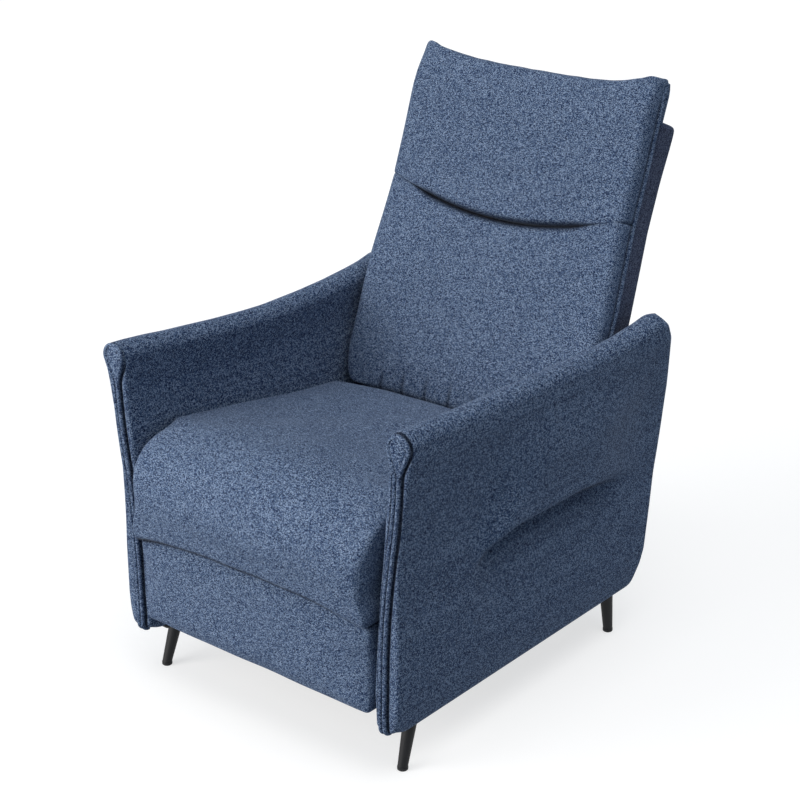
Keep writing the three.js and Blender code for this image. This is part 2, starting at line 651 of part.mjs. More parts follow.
function buildFootrest(body) {
  bothSides(body, (half, side) => addNode(half, `footrest_bracket_${side}`, footrestBracket(), ZINC));
  const inset = FOOTREST_BOARD_INSET;
  const boardShape = archedPanel(footrestHalf - inset, FOOTREST_BOTTOM + inset, footrestTop - inset, SEAM_ARCH);
  const boardFront = boardRear - FOOTREST_BOARD_THICK;
  addNode(body, "footrest_board", frontPlate(boardShape, boardFront, FOOTREST_BOARD_THICK), PLYWOOD);
  const padShape = archedPanel(footrestHalf, FOOTREST_BOTTOM, footrestTop, SEAM_ARCH);
  const padY = boardFront - TOUCH - FOOTREST_PAD_THICK;
  const flat = FOOTREST_PAD_THICK - EDGE_ROUND;
  const pad = frontPlate(padShape, padY, flat, {
    bevelEnabled: true,
    bevelThickness: EDGE_ROUND,
    bevelSize: EDGE_ROUND,
    bevelOffset: -EDGE_ROUND,
    bevelSegments: 2,
  });
  const front = frontHalf(pad, padY + FOOTREST_PAD_THICK - EDGE_ROUND);
  addNode(body, "footrest_pad", front.translate(0, EDGE_ROUND, 0), FABRIC);
}

// A padded panel is rounded on its front only: its rear rounding is cut off at y.
function frontHalf(geometry, y) {
  const reach = 2000;
  return cut(geometry, box([-reach, reach], [y, y + reach], [-reach, reach]));
}

// ---------- Back, drawn upright about its hinge: y is square to the back, z runs up along it ----------
function tuck(x) {
  return TUCK_MIDDLE + TUCK_RISE * (x / (backHalfWidth - EDGE_ROUND)) ** 2;
}

function backHalf(z) {
  return backHalfWidth - BACK_TOP_TAPER * smooth(0, SHELL_LENGTH, z);
}

function backPanelShape(inset, z0, z1) {
  const levels = [z0, (z0 + z1) / 2, z1];
  const side = levels.map((z) => [backHalf(z) - inset, z]);
  return outline([...side, ...side.map(([x, z]) => [-x, z]).reverse()]);
}

function backShell() {
  const body = frontPlate(backPanelShape(0, 0, SHELL_LENGTH), SHELL_FRONT, SHELL_REAR - SHELL_FRONT);
  const hollow = backPanelShape(SHELL_WALL, -1, SHELL_LENGTH - SHELL_WALL);
  return cut(body, frontPlate(hollow, SHELL_FRONT - 1, SHELL_REAR - SHELL_WALL - SHELL_FRONT + 1));
}

function softPanel(shape, rear) {
  const thick = rear - CUSHION_FACE;
  const full = frontPlate(shape, CUSHION_FACE + EDGE_ROUND, thick, {
    bevelEnabled: true,
    bevelThickness: EDGE_ROUND,
    bevelSize: EDGE_ROUND,
    bevelOffset: -EDGE_ROUND,
    bevelSegments: 2,
  });
  return frontHalf(full, rear);
}

function curvedEdge(rise, count = 12) {
  const points = [];
  for (let i = 0; i <= count; i++) {
    const x = backHalfWidth - 4 - (i / count) * 2 * (backHalfWidth - 4);
    points.push([x, rise(x)]);
  }
  return points;
}

function lumbarCushion() {
  const half = backHalfWidth - 4;
  return softPanel(outline([[-half, LUMBAR_FOOT], [half, LUMBAR_FOOT], ...curvedEdge(tuck)]), SHELL_FRONT - 2);
}

function headrestCushion() {
  const top = (x) => HEAD_MIDDLE + HEAD_CORNER * abs(x / backHalfWidth) ** 3;
  const foot = curvedEdge((x) => tuck(x) + TUCK_GAP).reverse();
  const narrow = (points) => points.map(([x, z]) => [(x * backHalf(z)) / backHalfWidth, z]);
  return softPanel(outline([...narrow(foot), ...narrow(curvedEdge(top))]), SHELL_FRONT - 2);
}

function backWebbing() {
  const outer = layerInner(LAYER.backBracket) - TOUCH;
  const half = outer - 8;
  const y = [POST_DEPTH[0] - TOUCH - WEB_THICK, POST_DEPTH[0] - TOUCH];
  const [low, high] = [POST_FOOT + 8, SHELL_LENGTH - SHELL_WALL - 16];
  const bands = [];
  for (let i = 0; i < 5; i++) {
    const z = low + (i / 4) * (high - low - WEB_WIDTH);
    bands.push(box([-half, half], y, [z, z + WEB_WIDTH]));
  }
  for (let i = 0; i < 4; i++) {
    const x = -half + WEB_WIDTH + (i / 3) * (2 * half - 3 * WEB_WIDTH);
    bands.push(box([x, x + WEB_WIDTH], y, [low, high]));
  }
  return join(...bands);
}

function buildBack(body) {
  const frame = new THREE.Group();
  frame.position.set(0, backPivotY, backPivotZ);
  frame.rotation.x = -BACK_LEAN;
  body.add(frame);

  const outer = layerInner(LAYER.backBracket) - TOUCH;
  const postTop = SHELL_LENGTH - SHELL_WALL - 8;
  bothSides(frame, (half, side) => {
    const strap = linkShape([0, 0], [0, BACK_BRACKET_LENGTH], 14, [[0, 0]]);
    addNode(half, `back_bracket_${side}`, sidePlate(strap, layerInner(LAYER.backBracket), STEEL), ZINC);
    addNode(half, `back_post_${side}`, box([outer - POST_THICK, outer], POST_DEPTH, [POST_FOOT, postTop]), PINE);
  });
  const across = [-outer + POST_THICK + TOUCH, outer - POST_THICK - TOUCH];
  const depth = [POST_DEPTH[0], POST_DEPTH[0] + BASE_RAIL_THICK];
  for (const [end, z] of [["bottom", POST_FOOT], ["top", postTop - BACK_RAIL_HEIGHT]]) {
    addNode(frame, `back_rail_${end}`, box(across, depth, [z, z + BACK_RAIL_HEIGHT]), PINE);
  }
  addNode(frame, "back_webbing", backWebbing(), WEBBING);
  addNode(frame, "back_shell", backShell(), FABRIC_DARK);
  addNode(frame, "lumbar_cushion", lumbarCushion(), FABRIC);
  addNode(frame, "headrest_cushion", headrestCushion(), FABRIC);
}

// ---------- Assembly ----------
const chair = new THREE.Group();
const bodies = [
  ["base", buildBase],
  ["front_swing", (body) => buildSwing(body, "front", 0)],
  ["rear_swing", (body) => buildSwing(body, "rear", 1)],
  ["seat", buildSeat],
  ["ottoman_drive", buildDrive],
  ["ottoman_support", buildSupport],
  ["footrest", buildFootrest],
  ["backrest", buildBack],
];
for (const [name, build] of bodies) {
  const body = new THREE.Group();
  body.name = name;
  build(body);
  chair.add(body);
}

// The origin is on the floor under the middle of the chair.
const extent = new THREE.Box3().setFromObject(chair, true);
const shift = -(extent.min.y + extent.max.y) / 2;
for (const body of chair.children) body.position.y = shift;
chair.userData.pivots = {
  recline: backPivot,
  front_swing: [basePivots[0], basePivotZ],
  rear_swing: [basePivots[1], basePivotZ],
  seat_level: [seatPivots[0], seatPivotZ],
  ottoman_drive: drivePivot,
  ottoman_support: supportPivot,
  footrest_tilt: footrestPivot,
};
for (const pivot of Object.values(chair.userData.pivots)) pivot[0] += shift;

export default chair;
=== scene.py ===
# Push-back recliner armchair in heathered blue upholstery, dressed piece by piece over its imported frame.
import json
from math import cos, pi, radians, sin

import bpy
import numpy as np
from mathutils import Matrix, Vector


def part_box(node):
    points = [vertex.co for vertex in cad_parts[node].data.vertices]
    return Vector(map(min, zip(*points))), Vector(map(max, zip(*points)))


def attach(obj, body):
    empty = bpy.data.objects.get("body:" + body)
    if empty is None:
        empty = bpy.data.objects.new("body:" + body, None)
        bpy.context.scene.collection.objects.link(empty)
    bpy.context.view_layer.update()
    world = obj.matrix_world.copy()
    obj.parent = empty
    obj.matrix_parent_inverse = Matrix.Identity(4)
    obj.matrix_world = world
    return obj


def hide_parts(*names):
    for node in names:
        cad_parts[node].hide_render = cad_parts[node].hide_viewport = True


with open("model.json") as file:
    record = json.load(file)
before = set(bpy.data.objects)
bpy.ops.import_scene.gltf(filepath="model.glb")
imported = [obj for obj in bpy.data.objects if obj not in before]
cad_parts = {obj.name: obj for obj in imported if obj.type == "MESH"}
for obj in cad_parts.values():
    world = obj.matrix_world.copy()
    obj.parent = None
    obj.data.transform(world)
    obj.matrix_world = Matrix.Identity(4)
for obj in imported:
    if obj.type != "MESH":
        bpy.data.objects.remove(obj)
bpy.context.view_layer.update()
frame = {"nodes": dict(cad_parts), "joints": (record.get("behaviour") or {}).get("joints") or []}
bpy.ops.object.select_all(action="DESELECT")

# ---------------------------------------------------------------- Arms
# Each arm is a plywood panel padded with foam on all sides and covered in one wrap of the blue fabric.
# It has a rolled top that dips and rises again to a leaning rear corner, and on its outer side an upper pad
# folds over the lower one.


def smooth(low, high, value):
    share = np.clip((value - low) / (high - low), 0, 1)
    return share * share * (3 - 2 * share)


def loft(name, around, along, place):
    """A grid rolled into a closed skin: place(turn, run) gives each point, with turn and run from 0 to 1."""
    bpy.ops.object.select_all(action="DESELECT")
    bpy.ops.mesh.primitive_grid_add(x_subdivisions=around, y_subdivisions=along, size=1)
    piece = bpy.context.object
    piece.name = piece.data.name = name
    points = np.empty(len(piece.data.vertices) * 3)
    piece.data.vertices.foreach_get("co", points)
    turn, run = points.reshape(-1, 3)[:, 0] + 0.5, points.reshape(-1, 3)[:, 1] + 0.5
    piece.data.vertices.foreach_set("co", np.stack(place(turn, run), 1).ravel())
    bpy.ops.object.mode_set(mode="EDIT")
    bpy.ops.mesh.select_all(action="SELECT")
    bpy.ops.mesh.remove_doubles(threshold=0.00002)
    bpy.ops.mesh.normals_make_consistent(inside=False)
    bpy.ops.object.mode_set(mode="OBJECT")
    bpy.ops.object.shade_smooth()
    return piece


def refine(piece):
    """One subdivision surface over the finished shape, applied."""
    bpy.ops.object.select_all(action="DESELECT")
    bpy.context.view_layer.objects.active = piece
    piece.select_set(True)
    fine = piece.modifiers.new("fine", "SUBSURF")
    fine.levels = fine.render_levels = 1
    bpy.ops.object.modifier_apply(modifier="fine")
    return piece


class Flow:
    """One shader socket. Sums and products of Flows and numbers add their own Math nodes."""

    def __init__(self, tree, socket=None):
        self.tree, self.socket = tree, socket

    def node(self, kind, settings=None, inputs=None, out=0):
        made = self.tree.nodes.new("ShaderNode" + kind)
        for key, value in (settings or {}).items():
            if key == "stops":
                while len(made.color_ramp.elements) < len(value):
                    made.color_ramp.elements.new(1)
                for element, (place, color) in zip(made.color_ramp.elements, value):
                    element.position, element.color = place, (*color, 1)
            else:
                setattr(made, key, value)
        for key, value in (inputs or {}).items():
            if isinstance(value, Flow):
                self.tree.links.new(value.socket, made.inputs[key])
            else:
                made.inputs[key].default_value = value
        return Flow(self.tree, made.outputs[out])

    def math(self, operation, *others):
        return self.node("Math", {"operation": operation}, dict(enumerate((self, *others))))

    def __add__(self, other):
        return self.math("ADD", other)

    def __mul__(self, other):
        return self.math("MULTIPLY", other)

    def __sub__(self, other):
        return self.math("SUBTRACT", other)

    def __rsub__(self, other):
        return self.math("MULTIPLY_ADD", -1.0, other)

    __radd__, __rmul__ = __add__, __mul__


def material(name):
    """A new node material: returns it, a Flow to build with, and its shader node."""
    made = bpy.data.materials.new(name)
    made.use_nodes = True
    return made, Flow(made.node_tree), made.node_tree.nodes["Principled BSDF"]


def feed(shader, **values):
    """Puts values and links on a shader's sockets, named with _ for each space."""
    for key, value in values.items():
        socket = shader.inputs[key.replace("_", " ")]
        if isinstance(value, Flow):
            value.tree.links.new(value.socket, socket)
        else:
            socket.default_value = value


def chenille(name, dark, middle, light, yarns):
    """Short two-tone yarns in a plain weave: dark and light flecks of 1 to 2 mm over a middle blue, darkened
    by painted shade in creases, joints and folds.
    """
    made, flow, shader = material(name)
    place = flow.node("TexCoord", out=3)
    yarn = place.node("Mapping", None, {"Vector": place, "Scale": yarns})
    fleck = yarn.node("TexVoronoi", None, {"Vector": yarn, "Scale": 1.0, "Randomness": 0.7}, out=1)
    tone = fleck.node("SeparateColor", None, {0: fleck})
    knot = yarn.node("TexVoronoi", None, {"Vector": yarn, "Scale": 1.0, "Randomness": 0.85}, out=0)
    mottle = place.node("TexNoise", None, {"Vector": place, "Scale": 55.0, "Detail": 3.0, "Roughness": 0.6})
    fuzz = place.node("TexNoise", None, {"Vector": place, "Scale": 1100.0, "Detail": 2.0, "Roughness": 0.7})
    mix = tone * 0.94 + mottle * 0.06 + fuzz * 0.10 - 0.05
    stops = [(0.15, dark), (0.44, middle), (0.56, middle), (0.83, light)]
    colour = mix.node("ValToRGB", {"stops": stops}, {0: mix})
    height = (1 - knot) * 0.8 + fuzz * 0.5
    bump = height.node("Bump", None, {"Strength": 0.4, "Distance": 0.0006, "Height": height})
    # Painted shade: each piece's own attribute darkens the yarn colour towards a deep blue where creases,
    # joints and folds fall into shade.
    crease = flow.node("Attribute", {"attribute_name": "crease"}, out=2)
    deep = tuple(part * 0.25 for part in dark)
    colour = colour.node("Mix", {"data_type": "RGBA"}, {0: crease * 0.85, 6: colour, 7: (*deep, 1)}, out=2)
    feed(shader, Base_Color=colour, Roughness=0.92 - 0.1 * tone, Normal=bump)
    feed(shader, Sheen_Weight=0.10, Sheen_Roughness=0.40, Sheen_Tint=(0.75, 0.82, 1.0, 1.0))
    feed(shader, Specular_IOR_Level=0.12)
    return made


ACROSS, UPRIGHT = (640.0, 900.0, 1040.0), (640.0, 580.0, 700.0)  # yarns to the metre, along each axis
shades = ((0.004, 0.010, 0.040), (0.056, 0.092, 0.173), (0.240, 0.310, 0.430))
blue = chenille("blue_chenille", *shades, ACROSS)
blue_upright = chenille("blue_chenille_upright", *shades, UPRIGHT)
pad_low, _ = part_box("arm_pad_left")
arm_front = pad_low.y
arm_floor, ARM_TOP = pad_low.z, 0.636
ROLL = 0.0225  # radius of the arm's rolled top
FOOT = 0.019  # radius of its underside
TURN_IN, TURN_OUT = 0.011, 0.006  # radii where the wrap turns round the front, inside and outside
CAP_ROWS = 12 / 96  # share of the grid's rows that lie flat on the front
OVERHANG, FOLD_DEPTH = 0.022, 0.0105  # how far the upper pad stands out, and the fold under it goes in

# The section of an arm at each level: its inner face, its outer face and its rear edge.
levels, insides, outsides, rears = np.array(
    [
        (0.083, 0.262, 0.302, 0.292),
        (0.107, 0.262, 0.307, 0.307),
        (0.134, 0.261, 0.311, 0.321),
        (0.162, 0.259, 0.313, 0.330),
        (0.250, 0.264, 0.313, 0.342),
        (0.310, 0.268, 0.311, 0.352),
        (0.352, 0.271, 0.311, 0.361),
        (0.400, 0.2765, 0.312, 0.368),
        (0.454, 0.281, 0.316, 0.370),
        (0.480, 0.283, 0.320, 0.367),
        (0.508, 0.286, 0.324, 0.361),
        (0.535, 0.288, 0.328, 0.354),
        (0.562, 0.289, 0.332, 0.347),
        (0.590, 0.289, 0.338, 0.337),
        (0.615, 0.289, 0.339, 0.324),
        (0.640, 0.290, 0.339, 0.298),
    ]
).T
# The top line of each arm from front to rear: a long dip, then a rise to the rear corner.
top_runs, left_rises, right_rises = np.array(
    [
        (-0.411, 0.638, 0.635),
        (-0.380, 0.637, 0.633),
        (-0.330, 0.634, 0.628),
        (-0.285, 0.631, 0.622),
        (-0.235, 0.629, 0.617),
        (-0.160, 0.626, 0.609),
        (-0.085, 0.624, 0.603),
        (-0.030, 0.622, 0.600),
        (0.070, 0.619, 0.601),
        (0.140, 0.619, 0.604),
        (0.200, 0.621, 0.609),
        (0.255, 0.628, 0.614),
        (0.290, 0.635, 0.620),
        (0.335, 0.634, 0.624),
    ]
).T
top_rises = {"left": left_rises, "right": right_rises}


def arc(run, radius):
    """How full a quarter round is, from 0 at its edge to 1 a radius in."""
    return np.sqrt(np.clip(1 - (1 - np.clip(run / radius, 0, 1)) ** 2, 0, 1))


def arm_place(turn, run, side):
    lift = (1 - np.cos(2 * pi * turn)) / 2
    level = arm_floor + lift * (ARM_TOP - arm_floor)
    height = level - arm_floor
    inner, outer = np.interp(level, levels, insides), np.interp(level, levels, outsides)
    length = np.interp(level, levels, rears) - arm_front
    cap = np.clip(run / CAP_ROWS, 0, 1)
    later = np.clip((run - CAP_ROWS) / (1 - CAP_ROWS), 0, 1)
    into = length * (0.2 * later + 0.4 * (1 - np.cos(pi * later)))
    middle = (inner + outer) / 2
    full = arc(ARM_TOP - level, ROLL) * arc(height, FOOT) * arc(length - into, 0.017)
    outside = turn < 0.5
    edge = np.where(outside, TURN_OUT, TURN_IN)
    half = (outer - inner) / 2 * full - edge * (1 - arc(into, edge)) * 0.8
    shut = (abs(run - 0.5) > 0.5 - 1e-6) | (abs(turn - 0.5) > 0.5 - 1e-6) | (abs(turn - 0.5) < 1e-6)
    half = np.where(shut, 0, np.maximum(half, 0.0005) * cap)
    # The upper pad overhangs the lower panel on the outside, from a fold that starts behind the front.
    y = arm_front + into
    line = np.interp(y, fold_runs, fold_rises)
    full_from = -0.150 + 0.13 * smooth(line + 0.01, line + 0.13, level)
    begins = smooth(-0.215, full_from, y) * (1 - smooth(0.10, 0.30, y))
    over = OVERHANG * smooth(line - 0.003, line + 0.018, level) * (1 - smooth(0.47, 0.60, level))
    hollow = 0.003 * smooth(0.16, 0.24, level) * (1 - smooth(line - 0.04, line, level))
    tuck = -FOLD_DEPTH * np.exp(-np.abs((level - line + 0.007) / 0.015) ** 1.6) - hollow
    x = middle + np.where(outside, half + begins * (over + tuck) * full, -half)
    top = smooth(0.34, 0.60, level) * (np.interp(y, top_runs, top_rises[side]) - ARM_TOP)
    heel = 0.011 * (1 - smooth(0, 0.045, into)) * (1 - smooth(0, 0.05, height))
    flare = 0.006 * smooth(0.20, 0.33, y) * smooth(0.45, 0.62, level)
    toe = 0.010 * (1 - arc(height, 0.014)) * (1 - smooth(0, 0.03, into))
    return x + flare, y + toe, level + top + heel


# The fold on the outer side of each arm, from front to rear.
fold_runs = np.array([-0.240, -0.211, -0.185, -0.159, -0.125, -0.094, 0.011, 0.082, 0.180, 0.300])
fold_rises = np.array([0.292, 0.322, 0.340, 0.353, 0.360, 0.362, 0.360, 0.359, 0.348, 0.322])


def shade(piece, name, value):
    """Writes one number for each point of the mesh, for the fabric to read: the painted shade that darkens
    its colour in creases, joints and folds.
    """
    layer = piece.data.attributes.get(name) or piece.data.attributes.new(name, "FLOAT", "POINT")
    layer.data.foreach_set("value", np.asarray(value, np.float32))


def points_of(piece):
    points = np.empty(len(piece.data.vertices) * 3)
    piece.data.vertices.foreach_get("co", points)
    return points.reshape(-1, 3).T


# The narrow front strip of each arm: the middle line of its double welt, whose two halves part at the top
# round a teardrop of plain cloth.
strip_levels = np.array([0.088, 0.127, 0.175, 0.244, 0.307, 0.360, 0.418, 0.450, 0.483, 0.522, 0.574, 0.640])
strip_middles = np.array(
    [0.282, 0.280, 0.281, 0.282, 0.2855, 0.2905]
    + [0.2975, 0.3020, 0.3060, 0.3095, 0.3120, 0.3140]
)
DROP_MIDDLE, DROP_RADIUS = 0.6125, 0.0195  # the teardrop's level and radius
NECK = 0.0042  # half the distance between the welts where they run side by side


def strip_half(level):
    """Half the distance between the two welts' lines at a level."""
    bulb = np.sqrt(np.clip(1 - ((level - DROP_MIDDLE) / DROP_RADIUS) ** 2, 0, 1)) * DROP_RADIUS
    fall = NECK + (DROP_RADIUS - NECK) * smooth(0.560, DROP_MIDDLE, level)
    return np.where(level > DROP_MIDDLE, bulb, fall)


for side, sign in (("left", 1), ("right", -1)):

    def mirrored(turn, run, sign=sign, side=side):
        x, y, z = arm_place(turn, run, side)
        return x * sign, y, z

    arm = refine(loft(f"arm_cover_{side}", 230, 96, mirrored))
    x, y, z = points_of(arm)
    gap = abs(x * sign - np.interp(z, strip_levels, strip_middles)) - strip_half(z)
    above = np.hypot(x * sign - strip_middles[-2], z - DROP_MIDDLE) - DROP_RADIUS
    gap = np.where(z > DROP_MIDDLE, above, gap)
    # The groove beside each welt is pressed into the cover, and it is also darkened with painted shade.
    at_front = 1 - smooth(arm_front + 0.001, arm_front + 0.006, y)
    groove = at_front * np.exp(-(((gap - 0.0050) / 0.0030) ** 2))
    inside_strip = at_front * (1 - smooth(0.0, 0.004, gap))
    # Painted shadow on the outer side: a dark line along the fold under the overhanging pad, and a softer
    # painted shadow below it.
    depth_below = np.interp(y, fold_runs, fold_rises) - z
    middle = (np.interp(z, levels, insides) + np.interp(z, levels, outsides)) / 2
    outer_side = (x * sign > middle) & (y > arm_front + 0.02)
    fold_line_shade = 0.95 * np.exp(-(((depth_below - 0.0035) / 0.0044) ** 2))
    fold_shadow = 0.32 * smooth(-0.002, 0.006, depth_below) * (1 - smooth(0.008, 0.085, depth_below))
    fold_shade = np.maximum(fold_line_shade, fold_shadow) * outer_side
    fold_shade = fold_shade * smooth(-0.225, -0.170, y) * (1 - smooth(0.12, 0.27, y))
    y = y + 0.0034 * groove + 0.0020 * inside_strip
    arm.data.vertices.foreach_set("co", np.stack((x, y, z), 1).ravel())
    # The painted shade goes to the fabric: in the welts' grooves, and along and under the fold.
    shade(arm, "crease", np.clip(np.maximum(1.25 * groove, fold_shade), 0, 1))
    arm.data.materials.append(blue_upright)
    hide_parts(f"arm_pad_{side}")
    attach(arm, "base")

# ---------------------------------------------------------------- Arm facings and welts
# A narrow strip of the same fabric closes the front of each arm between two corded welts. The welts run side
# by side from the foot to a neck, and part round a padded teardrop on the rolled top.


def piping(name, path, radius, cloth):
    """A cord covered in fabric, laid along a path of points and closed at both ends."""
    curve = bpy.data.curves.new(name, "CURVE")
    curve.dimensions, curve.bevel_depth, curve.bevel_resolution = "3D", radius, 5
    curve.use_fill_caps = True
    line = curve.splines.new("POLY")
    line.points.add(len(path) - 1)
    line.points.foreach_set("co", [value for point in path for value in (*point, 1)])
    piece = bpy.data.objects.new(name, curve)
    bpy.context.scene.collection.objects.link(piece)
    bpy.ops.object.select_all(action="DESELECT")
    piece.select_set(True)
    bpy.context.view_layer.objects.active = piece
    bpy.ops.object.convert(target="MESH")
    piece = bpy.context.object
    piece.name = piece.data.name = name
    bpy.ops.object.mode_set(mode="EDIT")
    bpy.ops.mesh.select_all(action="SELECT")
    bpy.ops.mesh.remove_doubles(threshold=0.00001)
    bpy.ops.mesh.normals_make_consistent(inside=False)
    bpy.ops.object.mode_set(mode="OBJECT")
    bpy.ops.object.shade_smooth()
    piece.data.materials.append(cloth)
    return piece


WELT = 0.0036  # radius of the arms' welts
WELT_FOOT = 0.106  # the level where they turn under
down = np.linspace(0.592, WELT_FOOT, 70)
around = np.linspace(-0.25, 1.25, 42) * pi
for side, sign in (("left", 1), ("right", -1)):

    def strip_place(turn, run, sign=sign):
        level = 0.096 + (DROP_MIDDLE + DROP_RADIUS - 0.096) * np.sin(run * pi / 2)
        half = strip_half(level) * (1 - (run > 1 - 1e-6))
        half = half * np.where(run < 1e-6, 0, 1)
        middle = np.interp(level, strip_levels, strip_middles)
        swell = 0.0014 + 0.0030 * half / DROP_RADIUS
        x = middle + half * np.cos(2 * pi * turn)
        y = arm_front - 0.0006 - swell * np.sin(2 * pi * turn) * (half > 0)
        return x * sign, y + 0.012 * (1 - smooth(0.096, 0.104, level)), level

    facing = loft(f"arm_facing_cover_{side}", 24, 120, strip_place)
    x, y, z = points_of(facing)
    # Painted shade along the strip's edges beside the welts, and over all of it below the teardrop's neck,
    # where it lies in the shade between the two welts.
    rim = abs(abs(x * sign - np.interp(z, strip_levels, strip_middles)) - strip_half(z))
    shade(facing, "crease", np.maximum(0.9 * (1 - smooth(0.0, 0.0065, rim)), 1 - smooth(0.555, 0.575, z)))
    facing.data.materials.append(blue_upright)
    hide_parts(f"arm_facing_{side}")
    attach(facing, "base")

    line = []
    toe_angles = np.linspace(pi / 2, 0.15, 7)
    foot_middle = float(np.interp(0.100, strip_levels, strip_middles))
    for angle in toe_angles:
        line.append((foot_middle - NECK, WELT_FOOT - 0.0125 * sin(angle)))
    for level in down[::-1]:
        line.append((np.interp(level, strip_levels, strip_middles) - strip_half(level), level))
    for angle in around[::-1][4:-4]:
        line.append((strip_middles[-1] + DROP_RADIUS * cos(angle), DROP_MIDDLE + DROP_RADIUS * sin(angle)))
    for level in down:
        line.append((np.interp(level, strip_levels, strip_middles) + strip_half(level), level))
    for angle in toe_angles[::-1]:
        line.append((foot_middle + NECK, WELT_FOOT - 0.0125 * sin(angle)))
    toes = [0.014 * (1 - cos(angle)) for angle in toe_angles]
    straight = [0.0] * (len(line) - 2 * len(toes))
    sunk = [arm_front - 0.0020 + toe for toe in toes + straight + toes[::-1]]
    path = [(x * sign, y, z) for (x, z), y in zip(line, sunk)]
    welt = piping(f"arm_welt_{side}", path, WELT, blue_upright)
    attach(welt, "base")

# ---------------------------------------------------------------- Seat cushion
# One thick foam cushion with a rounded nose that rolls down over the front of the seat box. It is crowned in
# the middle, held flat on the springs, and pressed against both arms.


def soft_block(name, cells, half, radius, place):
    """A cube cut into cells, rounded at its edges by radius(x, y, z), then laid out by place(x, y, z)."""
    bpy.ops.object.select_all(action="DESELECT")
    bpy.ops.mesh.primitive_cube_add(size=2)
    piece = bpy.context.object
    piece.name = piece.data.name = name
    bpy.context.tool_settings.mesh_select_mode = (False, True, False)
    for axis in range(3):
        bpy.ops.object.mode_set(mode="EDIT")
        bpy.ops.mesh.select_all(action="DESELECT")
        bpy.ops.object.mode_set(mode="OBJECT")
        corners = points_of(piece).T
        ends = np.empty(len(piece.data.edges) * 2, int)
        piece.data.edges.foreach_get("vertices", ends)
        ends = ends.reshape(-1, 2)
        runs = abs(corners[ends[:, 0], axis] - corners[ends[:, 1], axis]) > 1e-6
        piece.data.edges.foreach_set("select", runs)
        bpy.ops.object.mode_set(mode="EDIT")
        bpy.ops.mesh.subdivide(number_cuts=cells[axis] - 1)
        bpy.ops.object.mode_set(mode="OBJECT")
    half = np.array(half)[:, None]
    radius = radius(*points_of(piece)) if callable(radius) else radius
    core = half - radius
    wide = points_of(piece) * half
    inner = np.clip(wide, -core, core)
    over = wide - inner
    length = np.maximum(np.linalg.norm(over, axis=0), 1e-9)
    rounded = (inner + over / length * radius) / half
    piece.data.vertices.foreach_set("co", np.stack(place(*rounded), 1).ravel())
    piece.data.update()
    bpy.ops.object.shade_smooth()
    return piece


def fill(piece, held, pressure, cap):
    """Fills a cover by simulation: pressure swells the cloth, less where it is held, and never past cap."""
    pins = piece.vertex_groups.new(name="held")
    pins.add([int(index) for index in np.flatnonzero(held > 0.5)], 1.0, "REPLACE")
    cloth = piece.modifiers.new("filling", "CLOTH")
    cloth.settings.vertex_group_mass = "held"
    cloth.settings.quality = 5
    cloth.settings.mass = 0.25
    cloth.settings.tension_stiffness = cloth.settings.compression_stiffness = 12
    cloth.settings.bending_stiffness = 0.4
    cloth.settings.use_pressure = True
    cloth.settings.uniform_pressure_force = pressure
    cloth.settings.effector_weights.gravity = 0
    cloth.point_cache.frame_start, cloth.point_cache.frame_end = 1, 20
    for moment in range(cloth.point_cache.frame_start, cloth.point_cache.frame_end + 1):
        bpy.context.scene.frame_set(moment)
    start = points_of(piece)
    swollen = piece.evaluated_get(bpy.context.evaluated_depsgraph_get()).to_mesh()
    after = np.empty(len(swollen.vertices) * 3)
    swollen.vertices.foreach_get("co", after)
    normals = np.empty(len(piece.data.vertices) * 3)
    piece.data.vertices.foreach_get("normal", normals)
    normals = normals.reshape(-1, 3).T
    swell = np.maximum(((after.reshape(-1, 3).T - start) * normals).sum(0), 0)
    piece.modifiers.remove(cloth)
    piece.vertex_groups.remove(pins)
    bpy.context.scene.frame_set(1)
    grown = start + normals * cap * np.tanh(swell / cap) * (1 - held)
    piece.data.vertices.foreach_set("co", grown.T.ravel())
    piece.data.update()
    return piece


def reshape(piece, change):
    """Moves every point of a mesh by a rule on its three coordinates."""
    piece.data.vertices.foreach_set("co", np.stack(change(*points_of(piece)), 1).ravel())
    piece.data.update()
    return piece


box_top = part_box("seat_rail_left")[1].z + 0.0005
box_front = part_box("seat_rail_front")[0].y
seat_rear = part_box("seat_cushion")[1].y
seat_runs = np.array([-0.460, -0.430, -0.400, -0.360, -0.330, -0.265, -0.182, -0.007, 0.119])
seat_rises = np.array([0.478, 0.482, 0.486, 0.489, 0.489, 0.486, 0.472, 0.446, 0.430])
nose_levels = np.array([0.290, 0.320, 0.345, 0.370, 0.400, 0.420, 0.445, 0.465, 0.480, 0.490])
nose_backs = np.array([0.010, 0.005, 0.002, 0.000, 0.003, 0.008, 0.020, 0.036, 0.056, 0.078])
SEAT_FRONT = -0.447
SEAT_ARCH, FOOT_ARCH = 0.3085, 0.3055  # crests of the nose's lower edge and of the footrest's top edge


def inner_face(level):
    """How far the arm's inner face stands from the middle of the chair at a level."""
    return np.interp(level, levels, insides)


def arch(crest, across):
    """The shallow arch in which the seat's nose and the footrest meet, from its crest in the middle."""
    return crest - 0.021 * abs(across) ** 3


def seat_place(across, deep, rise):
    y = SEAT_FRONT + (deep + 1) / 2 * (seat_rear - SEAT_FRONT)
    crown = 1 - abs(across) ** 2.6
    top = np.interp(y, seat_runs, seat_rises) - (0.016 - 0.009 * smooth(-0.26, -0.38, y)) * (1 - crown)
    edge = arch(SEAT_ARCH, across)
    sole = edge + (box_top - edge) * smooth(box_front - 0.022, box_front - 0.004, y)
    z = sole + (rise + 1) / 2 * (top - sole)
    nose = 1 - smooth(-1, -0.35, deep)
    y = y + nose * np.interp(z + 0.016 * (1 - crown) * smooth(0.40, 0.48, z), nose_levels, nose_backs)
    wide = inner_face(z) - 0.0015 - nose * (0.003 + 0.012 * smooth(0.305, 0.345, z))
    return across * wide, y, z


